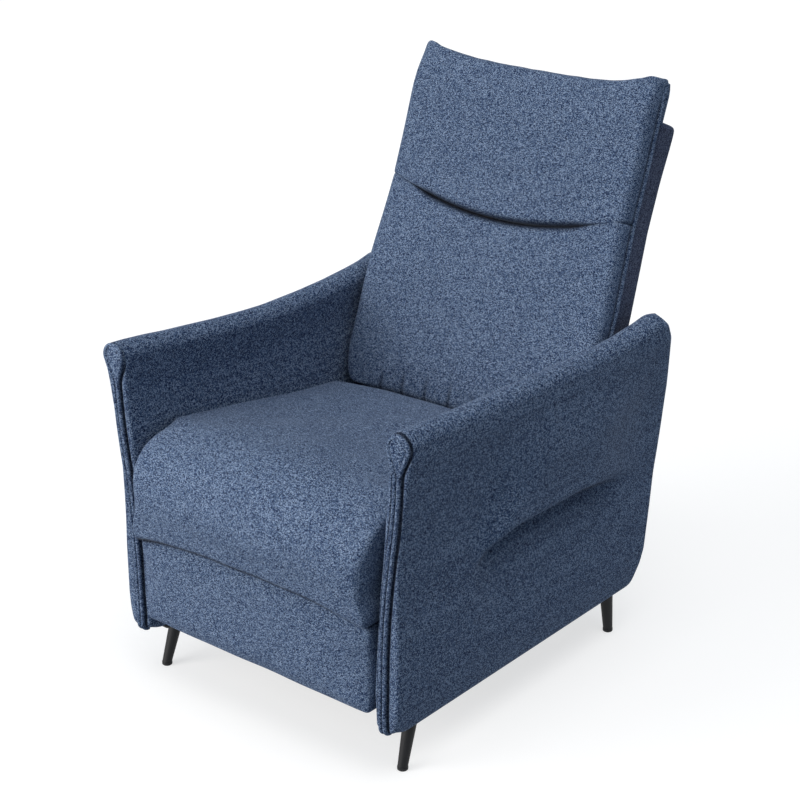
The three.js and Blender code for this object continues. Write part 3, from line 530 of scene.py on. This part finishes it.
def seat_radius(x, y, z):
    under_nose = (1 - smooth(-0.9, -0.6, y)) * (1 - smooth(-0.6, 0, z))
    by_arm = smooth(0.7, 0.95, abs(x)) * smooth(-0.75, -0.45, y) * 0.8
    at_corner = 0.35 * smooth(0.75, 0.95, abs(x)) * smooth(-0.3, 0.5, z)
    tighter = np.maximum(np.maximum(under_nose, by_arm), np.maximum(at_corner, smooth(0.6, 0.9, y)))
    return 0.024 - 0.018 * tighter


seat = soft_block("seat_cushion_cover", (84, 88, 24), (0.268, 0.280, 0.075), seat_radius, seat_place)
x, y, z = points_of(seat)
side_gap = inner_face(z) - abs(x)
held = np.maximum(1 - smooth(box_top, box_top + 0.03, z), 1 - smooth(0.002, 0.02, side_gap))
held = np.maximum(held, smooth(seat_rear - 0.02, seat_rear - 0.004, y))
fill(seat, held, pressure=3.0, cap=0.006)


def seat_settle(x, y, z):
    """The foam is never quite even: two shallow hollows in the seat, and soft waves along the nose."""
    on_top = smooth(0.40, 0.46, z)
    hollow = np.exp(-((abs(x) - 0.11) ** 2 / 0.011 + (y + 0.10) ** 2 / 0.035))
    wave = np.sin(x * 31 + 0.8) * np.sin(y * 17 + 1.1) + 0.6 * np.sin(x * 53 - y * 29)
    return x, y + 0.0012 * wave * (1 - smooth(-0.43, -0.36, y)), z - on_top * (0.004 * hollow - 0.0011 * wave)


refine(reshape(seat, seat_settle))
x, y, z = points_of(seat)
# Painted shade along the joint where the nose meets the footrest, fainter towards the left arm.
arch_line = arch(SEAT_ARCH, x / 0.262)
crease = (1 - smooth(0.002, 0.010, z - arch_line)) * (1 - smooth(-0.42, -0.36, y))
shade(seat, "crease", 1.15 * crease * (1 - 0.75 * smooth(0.17, 0.24, x)))
seat.data.materials.append(blue)
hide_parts("seat_cushion")
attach(seat, "seat")

# ---------------------------------------------------------------- Footrest pad
# The padded face of the footrest hangs below the nose of the seat. Its top edge is cut to the same shallow
# arch, its lower corners are rounded, and the fabric is stapled round the board behind it.

pad_low_corner, pad_high_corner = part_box("footrest_pad")
foot_front, foot_rear = pad_low_corner.y, pad_high_corner.y
foot_low = pad_low_corner.z
FOOT_HALF = 0.2605  # half its width


def footrest_place(across, deep, rise):
    top = arch(FOOT_ARCH, across)
    low = foot_low + 0.0003 - 0.0020 * across
    z = low + (rise + 1) / 2 * (top - low)
    low_corner = smooth(-0.2, -1, rise)
    wide = FOOT_HALF - 0.003 * low_corner**2
    swell = 0.006 * (1 - across**4) * (1 - rise**4)
    y = foot_rear + (deep - 1) / 2 * (foot_rear - foot_front - 0.004) - swell * (1 - deep) / 2
    return across * wide, y, z


def footrest_radius(x, y, z):
    return 0.0165 - 0.0125 * smooth(0.3, 0.9, z) - 0.0075 * smooth(-0.3, -0.9, z)


footrest = soft_block(
    "footrest_pad_cover",
    (84, 10, 30),
    (0.257, 0.020, 0.085),
    footrest_radius,
    footrest_place,
)
x, y, z = points_of(footrest)
fill(footrest, smooth(foot_rear - 0.020, foot_rear - 0.006, y), pressure=2.5, cap=0.004)


def footrest_settle(x, y, z):
    front = 1 - smooth(foot_front, foot_front + 0.02, y)
    ripple = np.sin(x * 24 + z * 30) + 0.7 * np.sin(x * 47 - z * 41 + 2)
    return x, y - 0.0010 * ripple * front, z


refine(reshape(footrest, footrest_settle))
x, y, z = points_of(footrest)
# Painted shade along the footrest's top edge under the seat's nose, fainter towards the left arm.
top_line = arch(FOOT_ARCH, x / FOOT_HALF)
shade(footrest, "crease", smooth(-0.009, -0.002, z - top_line) * (1.1 - 0.8 * smooth(0.17, 0.24, x)))
footrest.data.materials.append(blue)
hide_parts("footrest_pad")
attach(footrest, "footrest")

# ---------------------------------------------------------------- Lumbar cushion
# The lower back cushion leans back from the hinge. Its cover is gathered at the foot into short pleats and
# ends above in a deep crescent tuck under the headrest.

hinge = Vector(next(joint["pos_m"] for joint in frame["joints"] if joint["name"] == "recline"))
lean = radians(21.5)


def on_back(x, up, behind):
    """A point by its distance up the leaning back from the hinge, and behind the hinge."""
    y = hinge.y + up * sin(lean) + behind * cos(lean)
    return x, y, hinge.z + up * cos(lean) - behind * sin(lean)


def back_place(x, y, z):
    """The reverse of on_back."""
    up = (y - hinge.y) * sin(lean) + (z - hinge.z) * cos(lean)
    return x, up, (y - hinge.y) * cos(lean) - (z - hinge.z) * sin(lean)


def on_back_rule(change):
    """A rule in the back's own directions, to use on plain coordinates."""
    return lambda x, y, z: on_back(*change(*back_place(x, y, z)))


def tuck_line(x):
    """The crescent in which the two back cushions meet."""
    return 0.383 + 0.0375 * np.minimum(abs(x) / 0.235, 1.15) ** 2


# Half the back's width at its welts, from the foot up.
side_ups = np.array([0.028, 0.045, 0.080, 0.114, 0.210, 0.266, 0.366, 0.422, 0.527, 0.622, 0.660, 0.690])
side_halves = np.array([0.264, 0.270, 0.275, 0.275, 0.274, 0.273, 0.268, 0.265, 0.265, 0.265, 0.2645, 0.262])
WELT_AT = -0.0290  # the joint between the cushions' covers and the shell, behind the hinge line
CUSHION_REAR = -0.0245
LUMBAR_LOW, LUMBAR_SEEN = 0.020, 0.038  # its foot, and where it rises clear of the seat
PLUMP = 0.0165  # radius of the cushions' edges
SIDE_ROUND = 0.020  # how far the face curves in from the welt at each side


def open_tuck(x):
    """1 along the middle of the tuck, 0 at its ends, where it closes to a seam."""
    return 1 - smooth(0.16, 0.215, abs(x))


def on_face(behind):
    """1 on the front of the cushions, 0 at their rear."""
    return smooth(CUSHION_REAR - 0.008, CUSHION_REAR - 0.028, behind)


def tuck_radius(x, y, edge):
    """Full at the sides, closer at the tuck, where the ends close to a seam, and square at the rear."""
    tight = PLUMP - 0.008 - 0.006 * smooth(0.62, 0.82, abs(x))
    front = PLUMP + (tight - PLUMP) * smooth(0.6, 0.9, edge)
    rear = 0.003 + 0.009 * smooth(0.3, 0.6, -edge)
    return front + (rear - front) * smooth(0.1, 0.8, y)


def side_curve(across, deep):
    """Curves the sides towards the face: gives each point's new depth and how far it comes in."""
    share = (1 - deep) / 2
    angle = np.clip((share - 0.35) / 0.65, 0, 1) * pi / 2
    curved = np.minimum(share / 0.35, 1) * 0.45 + 0.55 * np.sin(angle)
    plain = share**2.2
    share = plain + (curved - plain) * smooth(0.6, 0.97, abs(across))
    return 1 - 2 * share, SIDE_ROUND * (1 - np.cos(angle))


def lumbar_place(across, deep, rise):
    x = across * 0.255
    top = tuck_line(x) - 0.0008 + 0.0014 * smooth(0.20, 0.24, abs(x))
    up = LUMBAR_LOW + (rise + 1) / 2 * (top - LUMBAR_LOW)
    crown = (1 - across**2 * 0.55) * (1 - 0.35 * abs(rise) ** 3)
    thick = 0.0335 + 0.0135 * crown - 0.006 * smooth(-0.6, -1, rise)
    deep, turned_in = side_curve(across, deep)
    behind = CUSHION_REAR + (deep - 1) / 2 * thick
    past_welt = 0.004 * smooth(WELT_AT - 0.002, WELT_AT + 0.004, behind)
    wide = np.interp(up, side_ups, side_halves) - past_welt - turned_in
    return on_back(across * wide, up, behind)


def fill_on_back(cushion):
    """Fills a back cushion by simulation, with its cloth held at the welts and at both sides."""
    x, _, behind = back_place(*points_of(cushion))
    at_welt = smooth(WELT_AT - 0.016, WELT_AT - 0.001, behind)
    at_side = smooth(0.215, 0.248, abs(x))
    refine(fill(cushion, np.maximum(at_welt, at_side), pressure=3.0, cap=0.008))


lumbar = soft_block(
    "lumbar_cushion_cover",
    (84, 12, 58),
    (0.262, 0.036, 0.180),
    tuck_radius,
    lumbar_place,
)
fill_on_back(lumbar)

# The gathers at the foot: the middle of each pleat, how far up it reaches, and its depth.
pleats = ((-0.172, 0.030, 0.0024), (-0.120, 0.040, 0.0038), (-0.064, 0.044, 0.0038), (-0.010, 0.050, 0.0040))
pleats += ((0.043, 0.030, 0.0044), (0.098, 0.042, 0.0034), (0.151, 0.032, 0.0028))
PLEAT_SLANT = 0.10  # how far the pleats lean sideways as they rise


def lumbar_pleats(x, up, behind):
    dent = 0 * x
    slant = PLEAT_SLANT * (up - 0.06)
    for middle, reach, depth in pleats:
        near = 1 - smooth(0.0, reach, up - LUMBAR_SEEN)
        dent = dent + depth * near * np.exp(-(((x - middle - slant) / 0.0048) ** 2))
        dent = dent - 0.35 * depth * near * np.exp(-(((x - middle - 0.013 - slant) / 0.008) ** 2))
    wave = np.sin(x * 21 + 0.5) * np.sin(up * 19) + 0.5 * np.sin(x * 39 + up * 33)
    return x, up, behind + on_face(behind) * (dent + 0.0012 * wave)


reshape(lumbar, on_back_rule(lumbar_pleats))
x, up, behind = back_place(*points_of(lumbar))
# Painted shade in the pleats, in the tuck under the headrest and beside the welt.
pleat_shade = sum(
    (1 - smooth(0.0, reach, up - LUMBAR_SEEN))
    * np.exp(-(((x - middle - PLEAT_SLANT * (up - 0.06)) / 0.0036) ** 2))
    for middle, reach, _ in pleats
)
opened = open_tuck(x)
tuck_shade = smooth(-0.004 - 0.010 * opened, -0.001, up - tuck_line(x)) * (0.35 + 0.65 * opened)
welt_shade = 0.75 * smooth(WELT_AT - 0.011, WELT_AT - 0.005, behind)
shade(lumbar, "crease", np.clip(np.maximum(np.maximum(tuck_shade, welt_shade), 0.75 * pleat_shade), 0, 1))
lumbar.data.materials.append(blue)
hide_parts("lumbar_cushion")
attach(lumbar, "backrest")

# ---------------------------------------------------------------- Headrest cushion
# The upper cushion puffs out over the tuck and stands above the shell. Its top edge dips between two pointed
# corners, and above the shell its boxed sides show behind the welt.

SHELL_TOP = 0.617  # the shell's top edge, up the back


def headrest_place(across, deep, rise):
    x = across * 0.255
    low = tuck_line(x) + 0.0008 - 0.0014 * smooth(0.20, 0.24, abs(x))
    top = 0.6655 + 0.0195 * abs(across) ** 3.2 + 0.003 * smooth(0.6, 0.95, across)
    up = low + (rise + 1) / 2 * (top - low)
    crown = (1 - across**2 * 0.5) * (1 - 0.30 * abs(rise) ** 3)
    rear = CUSHION_REAR + 0.0085 * smooth(SHELL_TOP - 0.022, SHELL_TOP - 0.004, up)
    front = CUSHION_REAR - 0.0335 - 0.0150 * crown + 0.013 * smooth(0.4, 1, rise)
    front = front - 0.004 * (1 - smooth(-1, -0.7, rise)) * open_tuck(x)
    deep, turned_in = side_curve(across, deep)
    wide = np.interp(up, side_ups, side_halves) - turned_in
    corner = smooth(0.90, 1, abs(across)) * smooth(0.84, 1, rise)
    x = across * (wide + 0.003 * corner) - 0.003 * smooth(0.50, 0.68, up)
    return on_back(x, up + 0.006 * corner, rear + (deep - 1) / 2 * (rear - front))


headrest = soft_block(
    "headrest_cushion_cover",
    (84, 12, 46),
    (0.258, 0.036, 0.135),
    lambda x, y, z: tuck_radius(x, y, -z),
    headrest_place,
)
fill_on_back(headrest)


def headrest_settle(x, up, behind):
    wave = np.sin(x * 23 - 0.9) * np.sin(up * 21 + 0.4) + 0.5 * np.sin(x * 43 - up * 27)
    edge = np.exp(-(((up - 0.655) / 0.022) ** 2)) * (np.sin(x * 96) + 0.6 * np.sin(x * 151 + 1))
    return x, up + 0.0003 * edge, behind + on_face(behind) * 0.0012 * wave


reshape(headrest, on_back_rule(headrest_settle))
x, up, behind = back_place(*points_of(headrest))
# Painted shade in the tuck along the headrest's lower edge, and beside the welt below the top corners.
opened = open_tuck(x)
tuck_shade = smooth(0.004 + 0.010 * opened, 0.001, up - tuck_line(x)) * (0.35 + 0.65 * opened)
before_welt = smooth(WELT_AT - 0.011, WELT_AT - 0.005, behind)
beside_welt = before_welt * (1 - smooth(WELT_AT + 0.003, WELT_AT + 0.008, behind))
welt_shade = 0.75 * beside_welt * (1 - smooth(0.64, 0.66, up))
shade(headrest, "crease", np.clip(np.maximum(tuck_shade, welt_shade), 0, 1))
headrest.data.materials.append(blue)
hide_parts("headrest_cushion")
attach(headrest, "backrest")

# ---------------------------------------------------------------- Back shell
# The outer back is a shallow open tub over the wooden frame, covered in the darker fabric, with a flat rear
# panel. Only its sides and top edge show beside the cushions from the front.

dark_shades = ((0.008, 0.011, 0.030), (0.036, 0.048, 0.098), (0.110, 0.132, 0.210))
navy = chenille("dark_blue_chenille", *dark_shades, UPRIGHT)
SHELL_FRONT, SHELL_REAR, SHELL_LOW = WELT_AT + 0.001, 0.0490, 0.001


def shell_half(up):
    """The shell's sides run flush with the cushions' covers, down to the hinge."""
    return np.interp(up, side_ups, side_halves) - 0.0025 + 0.003 * smooth(0.50, 0.60, up)


def shell_place(across, deep, rise):
    up = SHELL_LOW + (rise + 1) / 2 * (SHELL_TOP - 0.0005 - SHELL_LOW)
    behind = SHELL_FRONT + (deep + 1) / 2 * (SHELL_REAR - SHELL_FRONT)
    bulge = 0.003 * smooth(0.4, 1, deep) * (1 - across**4) * (1 - rise**4)
    taper = 0.006 * smooth(-0.8, 0.9, deep)
    return on_back(across * (shell_half(up) - taper), up, behind - 0.001 + bulge)


shell = soft_block("back_shell_cover", (60, 12, 70), (0.262, 0.034, 0.307), 0.009, shell_place)
# Its front is cut open, but for a rim, and the skin is given a wall.
bpy.ops.object.mode_set(mode="EDIT")
bpy.ops.mesh.select_all(action="DESELECT")
bpy.ops.object.mode_set(mode="OBJECT")
bpy.context.tool_settings.mesh_select_mode = (False, False, True)
for face in shell.data.polygons:
    _, up, behind = back_place(*face.center)
    face.select = behind < SHELL_FRONT + 0.0005 and abs(face.center.x) < 0.243 and 0.018 < up < 0.594
bpy.ops.object.mode_set(mode="EDIT")
bpy.ops.mesh.delete(type="FACE")
bpy.ops.object.mode_set(mode="OBJECT")
wall = shell.modifiers.new("wall", "SOLIDIFY")
wall.thickness, wall.offset = 0.004, -1
bpy.ops.object.modifier_apply(modifier="wall")
refine(shell)
_, up, behind = back_place(*points_of(shell))
# Painted shade along the shell's front rim, where it meets the cushions and the welt.
shade(shell, "crease", 0.8 * (1 - smooth(SHELL_FRONT + 0.005, SHELL_FRONT + 0.012, behind)))
shell.data.materials.append(navy)
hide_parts("back_shell")
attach(shell, "backrest")

# A corded welt closes the joint between the cushions' covers and the shell. At each top corner it turns back
# on itself, and runs down behind the headrest's boxed side to the shell.
for side, sign in (("left", 1), ("right", -1)):
    path = []
    for up in np.linspace(0.036, 0.640, 90):
        shift = 0.003 * smooth(0.50, 0.68, up) * sign
        path.append((np.interp(up, side_ups, side_halves) + 0.0012 - shift, up, WELT_AT))
    turn_x = np.interp(0.655, side_ups, side_halves) - 0.001 - 0.003 * sign
    # Round the corner: how far each point lies inside the side, up the back, and behind the hinge line.
    turn = ((0, 0.652, -0.0283), (0, 0.664, -0.0268), (0.001, 0.674, -0.0238), (0.002, 0.6805, -0.0210))
    turn += ((0.002, 0.680, -0.0178), (0.001, 0.672, -0.0162))
    path += [(turn_x - inside, up, behind) for inside, up, behind in turn]
    path += [(turn_x, up, -0.0158) for up in (0.660, 0.645, 0.630, 0.618, 0.608)]
    path = [tuple(float(value) for value in on_back(x * sign, up, behind)) for x, up, behind in path]
    welt = piping(f"back_welt_{side}", path, 0.0040, blue)
    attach(welt, "backrest")

# A second welt outlines the flat panel on the rear of the shell.
rear_path = []
for step in range(240):
    angle = 2 * pi * step / 239
    round_x = np.sign(cos(angle)) * abs(cos(angle)) ** 0.16
    round_up = np.sign(sin(angle)) * abs(sin(angle)) ** 0.16
    up = 0.3065 + 0.2975 * round_up
    rear_path.append(on_back(float(round_x * (shell_half(up) - 0.015)), float(up), SHELL_REAR - 0.0042))
welt = piping("back_panel_welt", rear_path[:-1] + rear_path[:1], 0.0026, navy)
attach(welt, "backrest")

# ---------------------------------------------------------------- Rear apron
# A thin board between the arms, wrapped in the darker fabric, hides the mechanism from behind.

apron_low, apron_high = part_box("rear_apron")


def apron_place(across, deep, rise):
    z = apron_low.z + (rise + 1) / 2 * (apron_high.z - apron_low.z)
    wide = inner_face(z) - 0.003
    y = apron_low.y + (deep + 1) / 2 * (apron_high.y - apron_low.y)
    return across * wide, y - 0.0015 * smooth(0, 1, deep) * (1 - (1 - across**6) * (1 - rise**6)), z


apron = refine(soft_block("rear_apron_cover", (60, 4, 36), (0.268, 0.009, 0.152), 0.006, apron_place))
apron.data.materials.append(navy)
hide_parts("rear_apron")
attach(apron, "base")

# ---------------------------------------------------------------- Legs, mechanism and frame
# The hardware keeps its made shapes: tapered legs powder-coated black on plastic glides, zinc-plated steel
# links and plates, wire springs, birch plywood and pine rails, and woven webbing.


def painted(name, base, shine, speck):
    """Powder coat or moulded plastic: a fine orange-peel surface with faint specks."""
    made, flow, shader = material(name)
    place = flow.node("TexCoord", out=3)
    peel = place.node("TexNoise", None, {"Vector": place, "Scale": 1400.0, "Detail": 2.0})
    cloud = place.node("TexNoise", None, {"Vector": place, "Scale": 60.0, "Detail": 4.0})
    light = tuple(part * (1 + speck) + 0.004 for part in base)
    colour = peel.node("ValToRGB", {"stops": [(0.3, base), (0.75, light)]}, {0: peel * 0.6 + cloud * 0.4})
    bump = peel.node("Bump", None, {"Strength": 0.25, "Distance": 0.0003, "Height": peel})
    feed(shader, Base_Color=colour, Roughness=cloud * 0.14 + shine, Normal=bump, Specular_IOR_Level=0.3)
    return made


def plated(name, base, roughness):
    """Zinc-plated or drawn steel: cloudy spangle and fine rolling lines."""
    made, flow, shader = material(name)
    place = flow.node("TexCoord", out=3)
    long = place.node("Mapping", None, {"Vector": place, "Scale": (900.0, 60.0, 900.0)})
    lines = place.node("TexNoise", None, {"Vector": long, "Scale": 1.0, "Detail": 3.0})
    spangle = place.node("TexVoronoi", None, {"Vector": place, "Scale": 160.0}, out=1)
    tone = spangle.node("SeparateColor", None, {0: spangle})
    dull = tuple(part * 0.72 for part in base)
    colour = tone.node("ValToRGB", {"stops": [(0.2, dull), (0.8, base)]}, {0: tone * 0.5 + lines * 0.5})
    bump = lines.node("Bump", None, {"Strength": 0.15, "Distance": 0.0002, "Height": lines})
    feed(shader, Base_Color=colour, Metallic=1.0, Roughness=lines * 0.2 + roughness, Normal=bump)
    return made


def timber(name, pale, deep, ring, stretch):
    """Sawn timber or plywood: long grain with darker late wood."""
    made, flow, shader = material(name)
    place = flow.node("TexCoord", out=3)
    grain = place.node("Mapping", None, {"Vector": place, "Scale": stretch})
    bend = place.node("TexNoise", None, {"Vector": grain, "Scale": 1.0, "Detail": 4.0, "Distortion": 0.6})
    fibre = place.node("TexNoise", None, {"Vector": grain, "Scale": 9.0, "Detail": 3.0})
    rings = (bend * ring).math("FRACT")
    colour = rings.node("ValToRGB", {"stops": [(0.1, pale), (0.95, deep)]}, {0: rings * 0.6 + fibre * 0.4})
    bump = fibre.node("Bump", None, {"Strength": 0.3, "Distance": 0.0004, "Height": fibre})
    feed(shader, Base_Color=colour, Roughness=fibre * 0.2 + 0.5, Normal=bump)
    return made


def woven_tape(name, dark, light):
    """Elastic webbing: rubber and jute threads crossing at 2 mm."""
    made, flow, shader = material(name)
    place = flow.node("TexCoord", out=3)
    threads = {"Vector": place, "Scale": 160.0, "Distortion": 0.4}
    across = place.node("TexWave", {"bands_direction": "X"}, threads)
    along = place.node("TexWave", {"bands_direction": "Z"}, threads)
    weave = across * 0.5 + along * 0.5
    colour = weave.node("ValToRGB", {"stops": [(0.2, dark), (0.8, light)]}, {0: weave})
    bump = weave.node("Bump", None, {"Strength": 0.5, "Distance": 0.0005, "Height": weave})
    feed(shader, Base_Color=colour, Roughness=0.95 - 0.1 * weave, Normal=bump)
    return made


finishes = {
    "blue_fabric": blue_upright,
    "dark_blue_fabric": navy,
    "black_steel": painted("black_powder_coat", (0.006, 0.006, 0.007), 0.46, 0.5),
    "black_plastic": painted("black_glide_plastic", (0.014, 0.014, 0.015), 0.50, 0.3),
    "zinc_steel": plated("zinc_plate", (0.56, 0.57, 0.58), 0.28),
    "spring_steel": plated("drawn_wire", (0.30, 0.30, 0.31), 0.34),
    "plywood": timber("birch_plywood", (0.62, 0.46, 0.28), (0.44, 0.29, 0.15), 5.0, (30.0, 3.0, 8.0)),
    "pine_wood": timber("pine", (0.68, 0.50, 0.28), (0.46, 0.28, 0.12), 7.0, (4.0, 40.0, 30.0)),
    "webbing": woven_tape("back_webbing_tape", (0.05, 0.045, 0.04), (0.22, 0.20, 0.17)),
}
for node in frame["nodes"].values():
    for place in node.material_slots:
        place.material = finishes[place.material.name.split(".")[0]]
# The plates that carry the legs are coated with them.
for corner in ("front_left", "front_right", "rear_left", "rear_right"):
    frame["nodes"][f"leg_plate_{corner}"].material_slots[0].material = finishes["black_steel"]

# ---------------------------------------------------------------- Stage
# The chair stands on a pale paper floor under a pale sky. Two broad suns and a soft box in front of its right
# arm light it, and the camera looks down on it from the front and its left.

bpy.ops.object.select_all(action="DESELECT")
bpy.ops.mesh.primitive_plane_add(size=30, location=(0, 0, 0))
floor = bpy.context.object
floor.name = "studio_floor"
paper, _, paper_shader = material("studio_paper")
feed(paper_shader, Base_Color=(0.42, 0.42, 0.42, 1), Roughness=0.95, Specular_IOR_Level=0.0)
feed(paper_shader, Emission_Color=(1, 1, 1, 1), Emission_Strength=0.66)
floor.visible_diffuse = False
floor.data.materials.append(paper)

world = bpy.data.worlds.new("studio")
world.use_nodes = True
# The sky is a dim blue as a light, and nearly white where it is seen.
sky, air = world.node_tree.nodes["Background"], Flow(world.node_tree)
seen = air.node("LightPath", out=0)
tint = air.node("Mix", {"data_type": "RGBA"}, {0: seen, 6: (0.62, 0.80, 1, 1), 7: (0.97, 0.98, 1, 1)}, out=2)
world.node_tree.links.new(tint.socket, sky.inputs[0])
world.node_tree.links.new((seen * 0.71 + 0.29).socket, sky.inputs[1])
bpy.context.scene.world = world

suns = (("key", (-0.50, -1.0, 0.64), 1.04, 42), ("overhead", (0.26, -0.12, 1.2), 1.60, 45))
for name, toward, strength, spread in suns:
    lamp = bpy.data.lights.new(f"{name}_light", "SUN")
    lamp.energy, lamp.angle, lamp.color = strength, radians(spread), (1, 0.97, 0.93)
    light = bpy.data.objects.new(f"{name}_light", lamp)
    bpy.context.scene.collection.objects.link(light)
    light.rotation_euler = Vector(toward).to_track_quat("Z", "Y").to_euler()

lamp = bpy.data.lights.new("front_softbox", "AREA")
lamp.shape, lamp.size, lamp.energy, lamp.color = "SQUARE", 1.5, 42, (1, 0.98, 0.96)
light = bpy.data.objects.new("front_softbox", lamp)
bpy.context.scene.collection.objects.link(light)
light.location = (-1.3, -2.6, 0.75)
light.rotation_euler = (light.location - Vector((0, -0.3, 0.35))).to_track_quat("Z", "Y").to_euler()

front_shift = arm_front + 0.4  # the camera keeps its distance from the front of the arms
lens = bpy.data.cameras.new("camera")
lens.lens, lens.sensor_width, lens.clip_end = 89.41, 36, 100
camera = bpy.data.objects.new("camera", lens)
bpy.context.scene.collection.objects.link(camera)
camera.location = (2.06706, -2.55045 + front_shift, 1.82673)
aim = Vector((0.04888, -0.07177 + front_shift, 0.520))
camera.rotation_euler = (aim - camera.location).to_track_quat("-Z", "Y").to_euler()
bpy.context.scene.camera = camera
bpy.context.scene.view_settings.view_transform = "Standard"
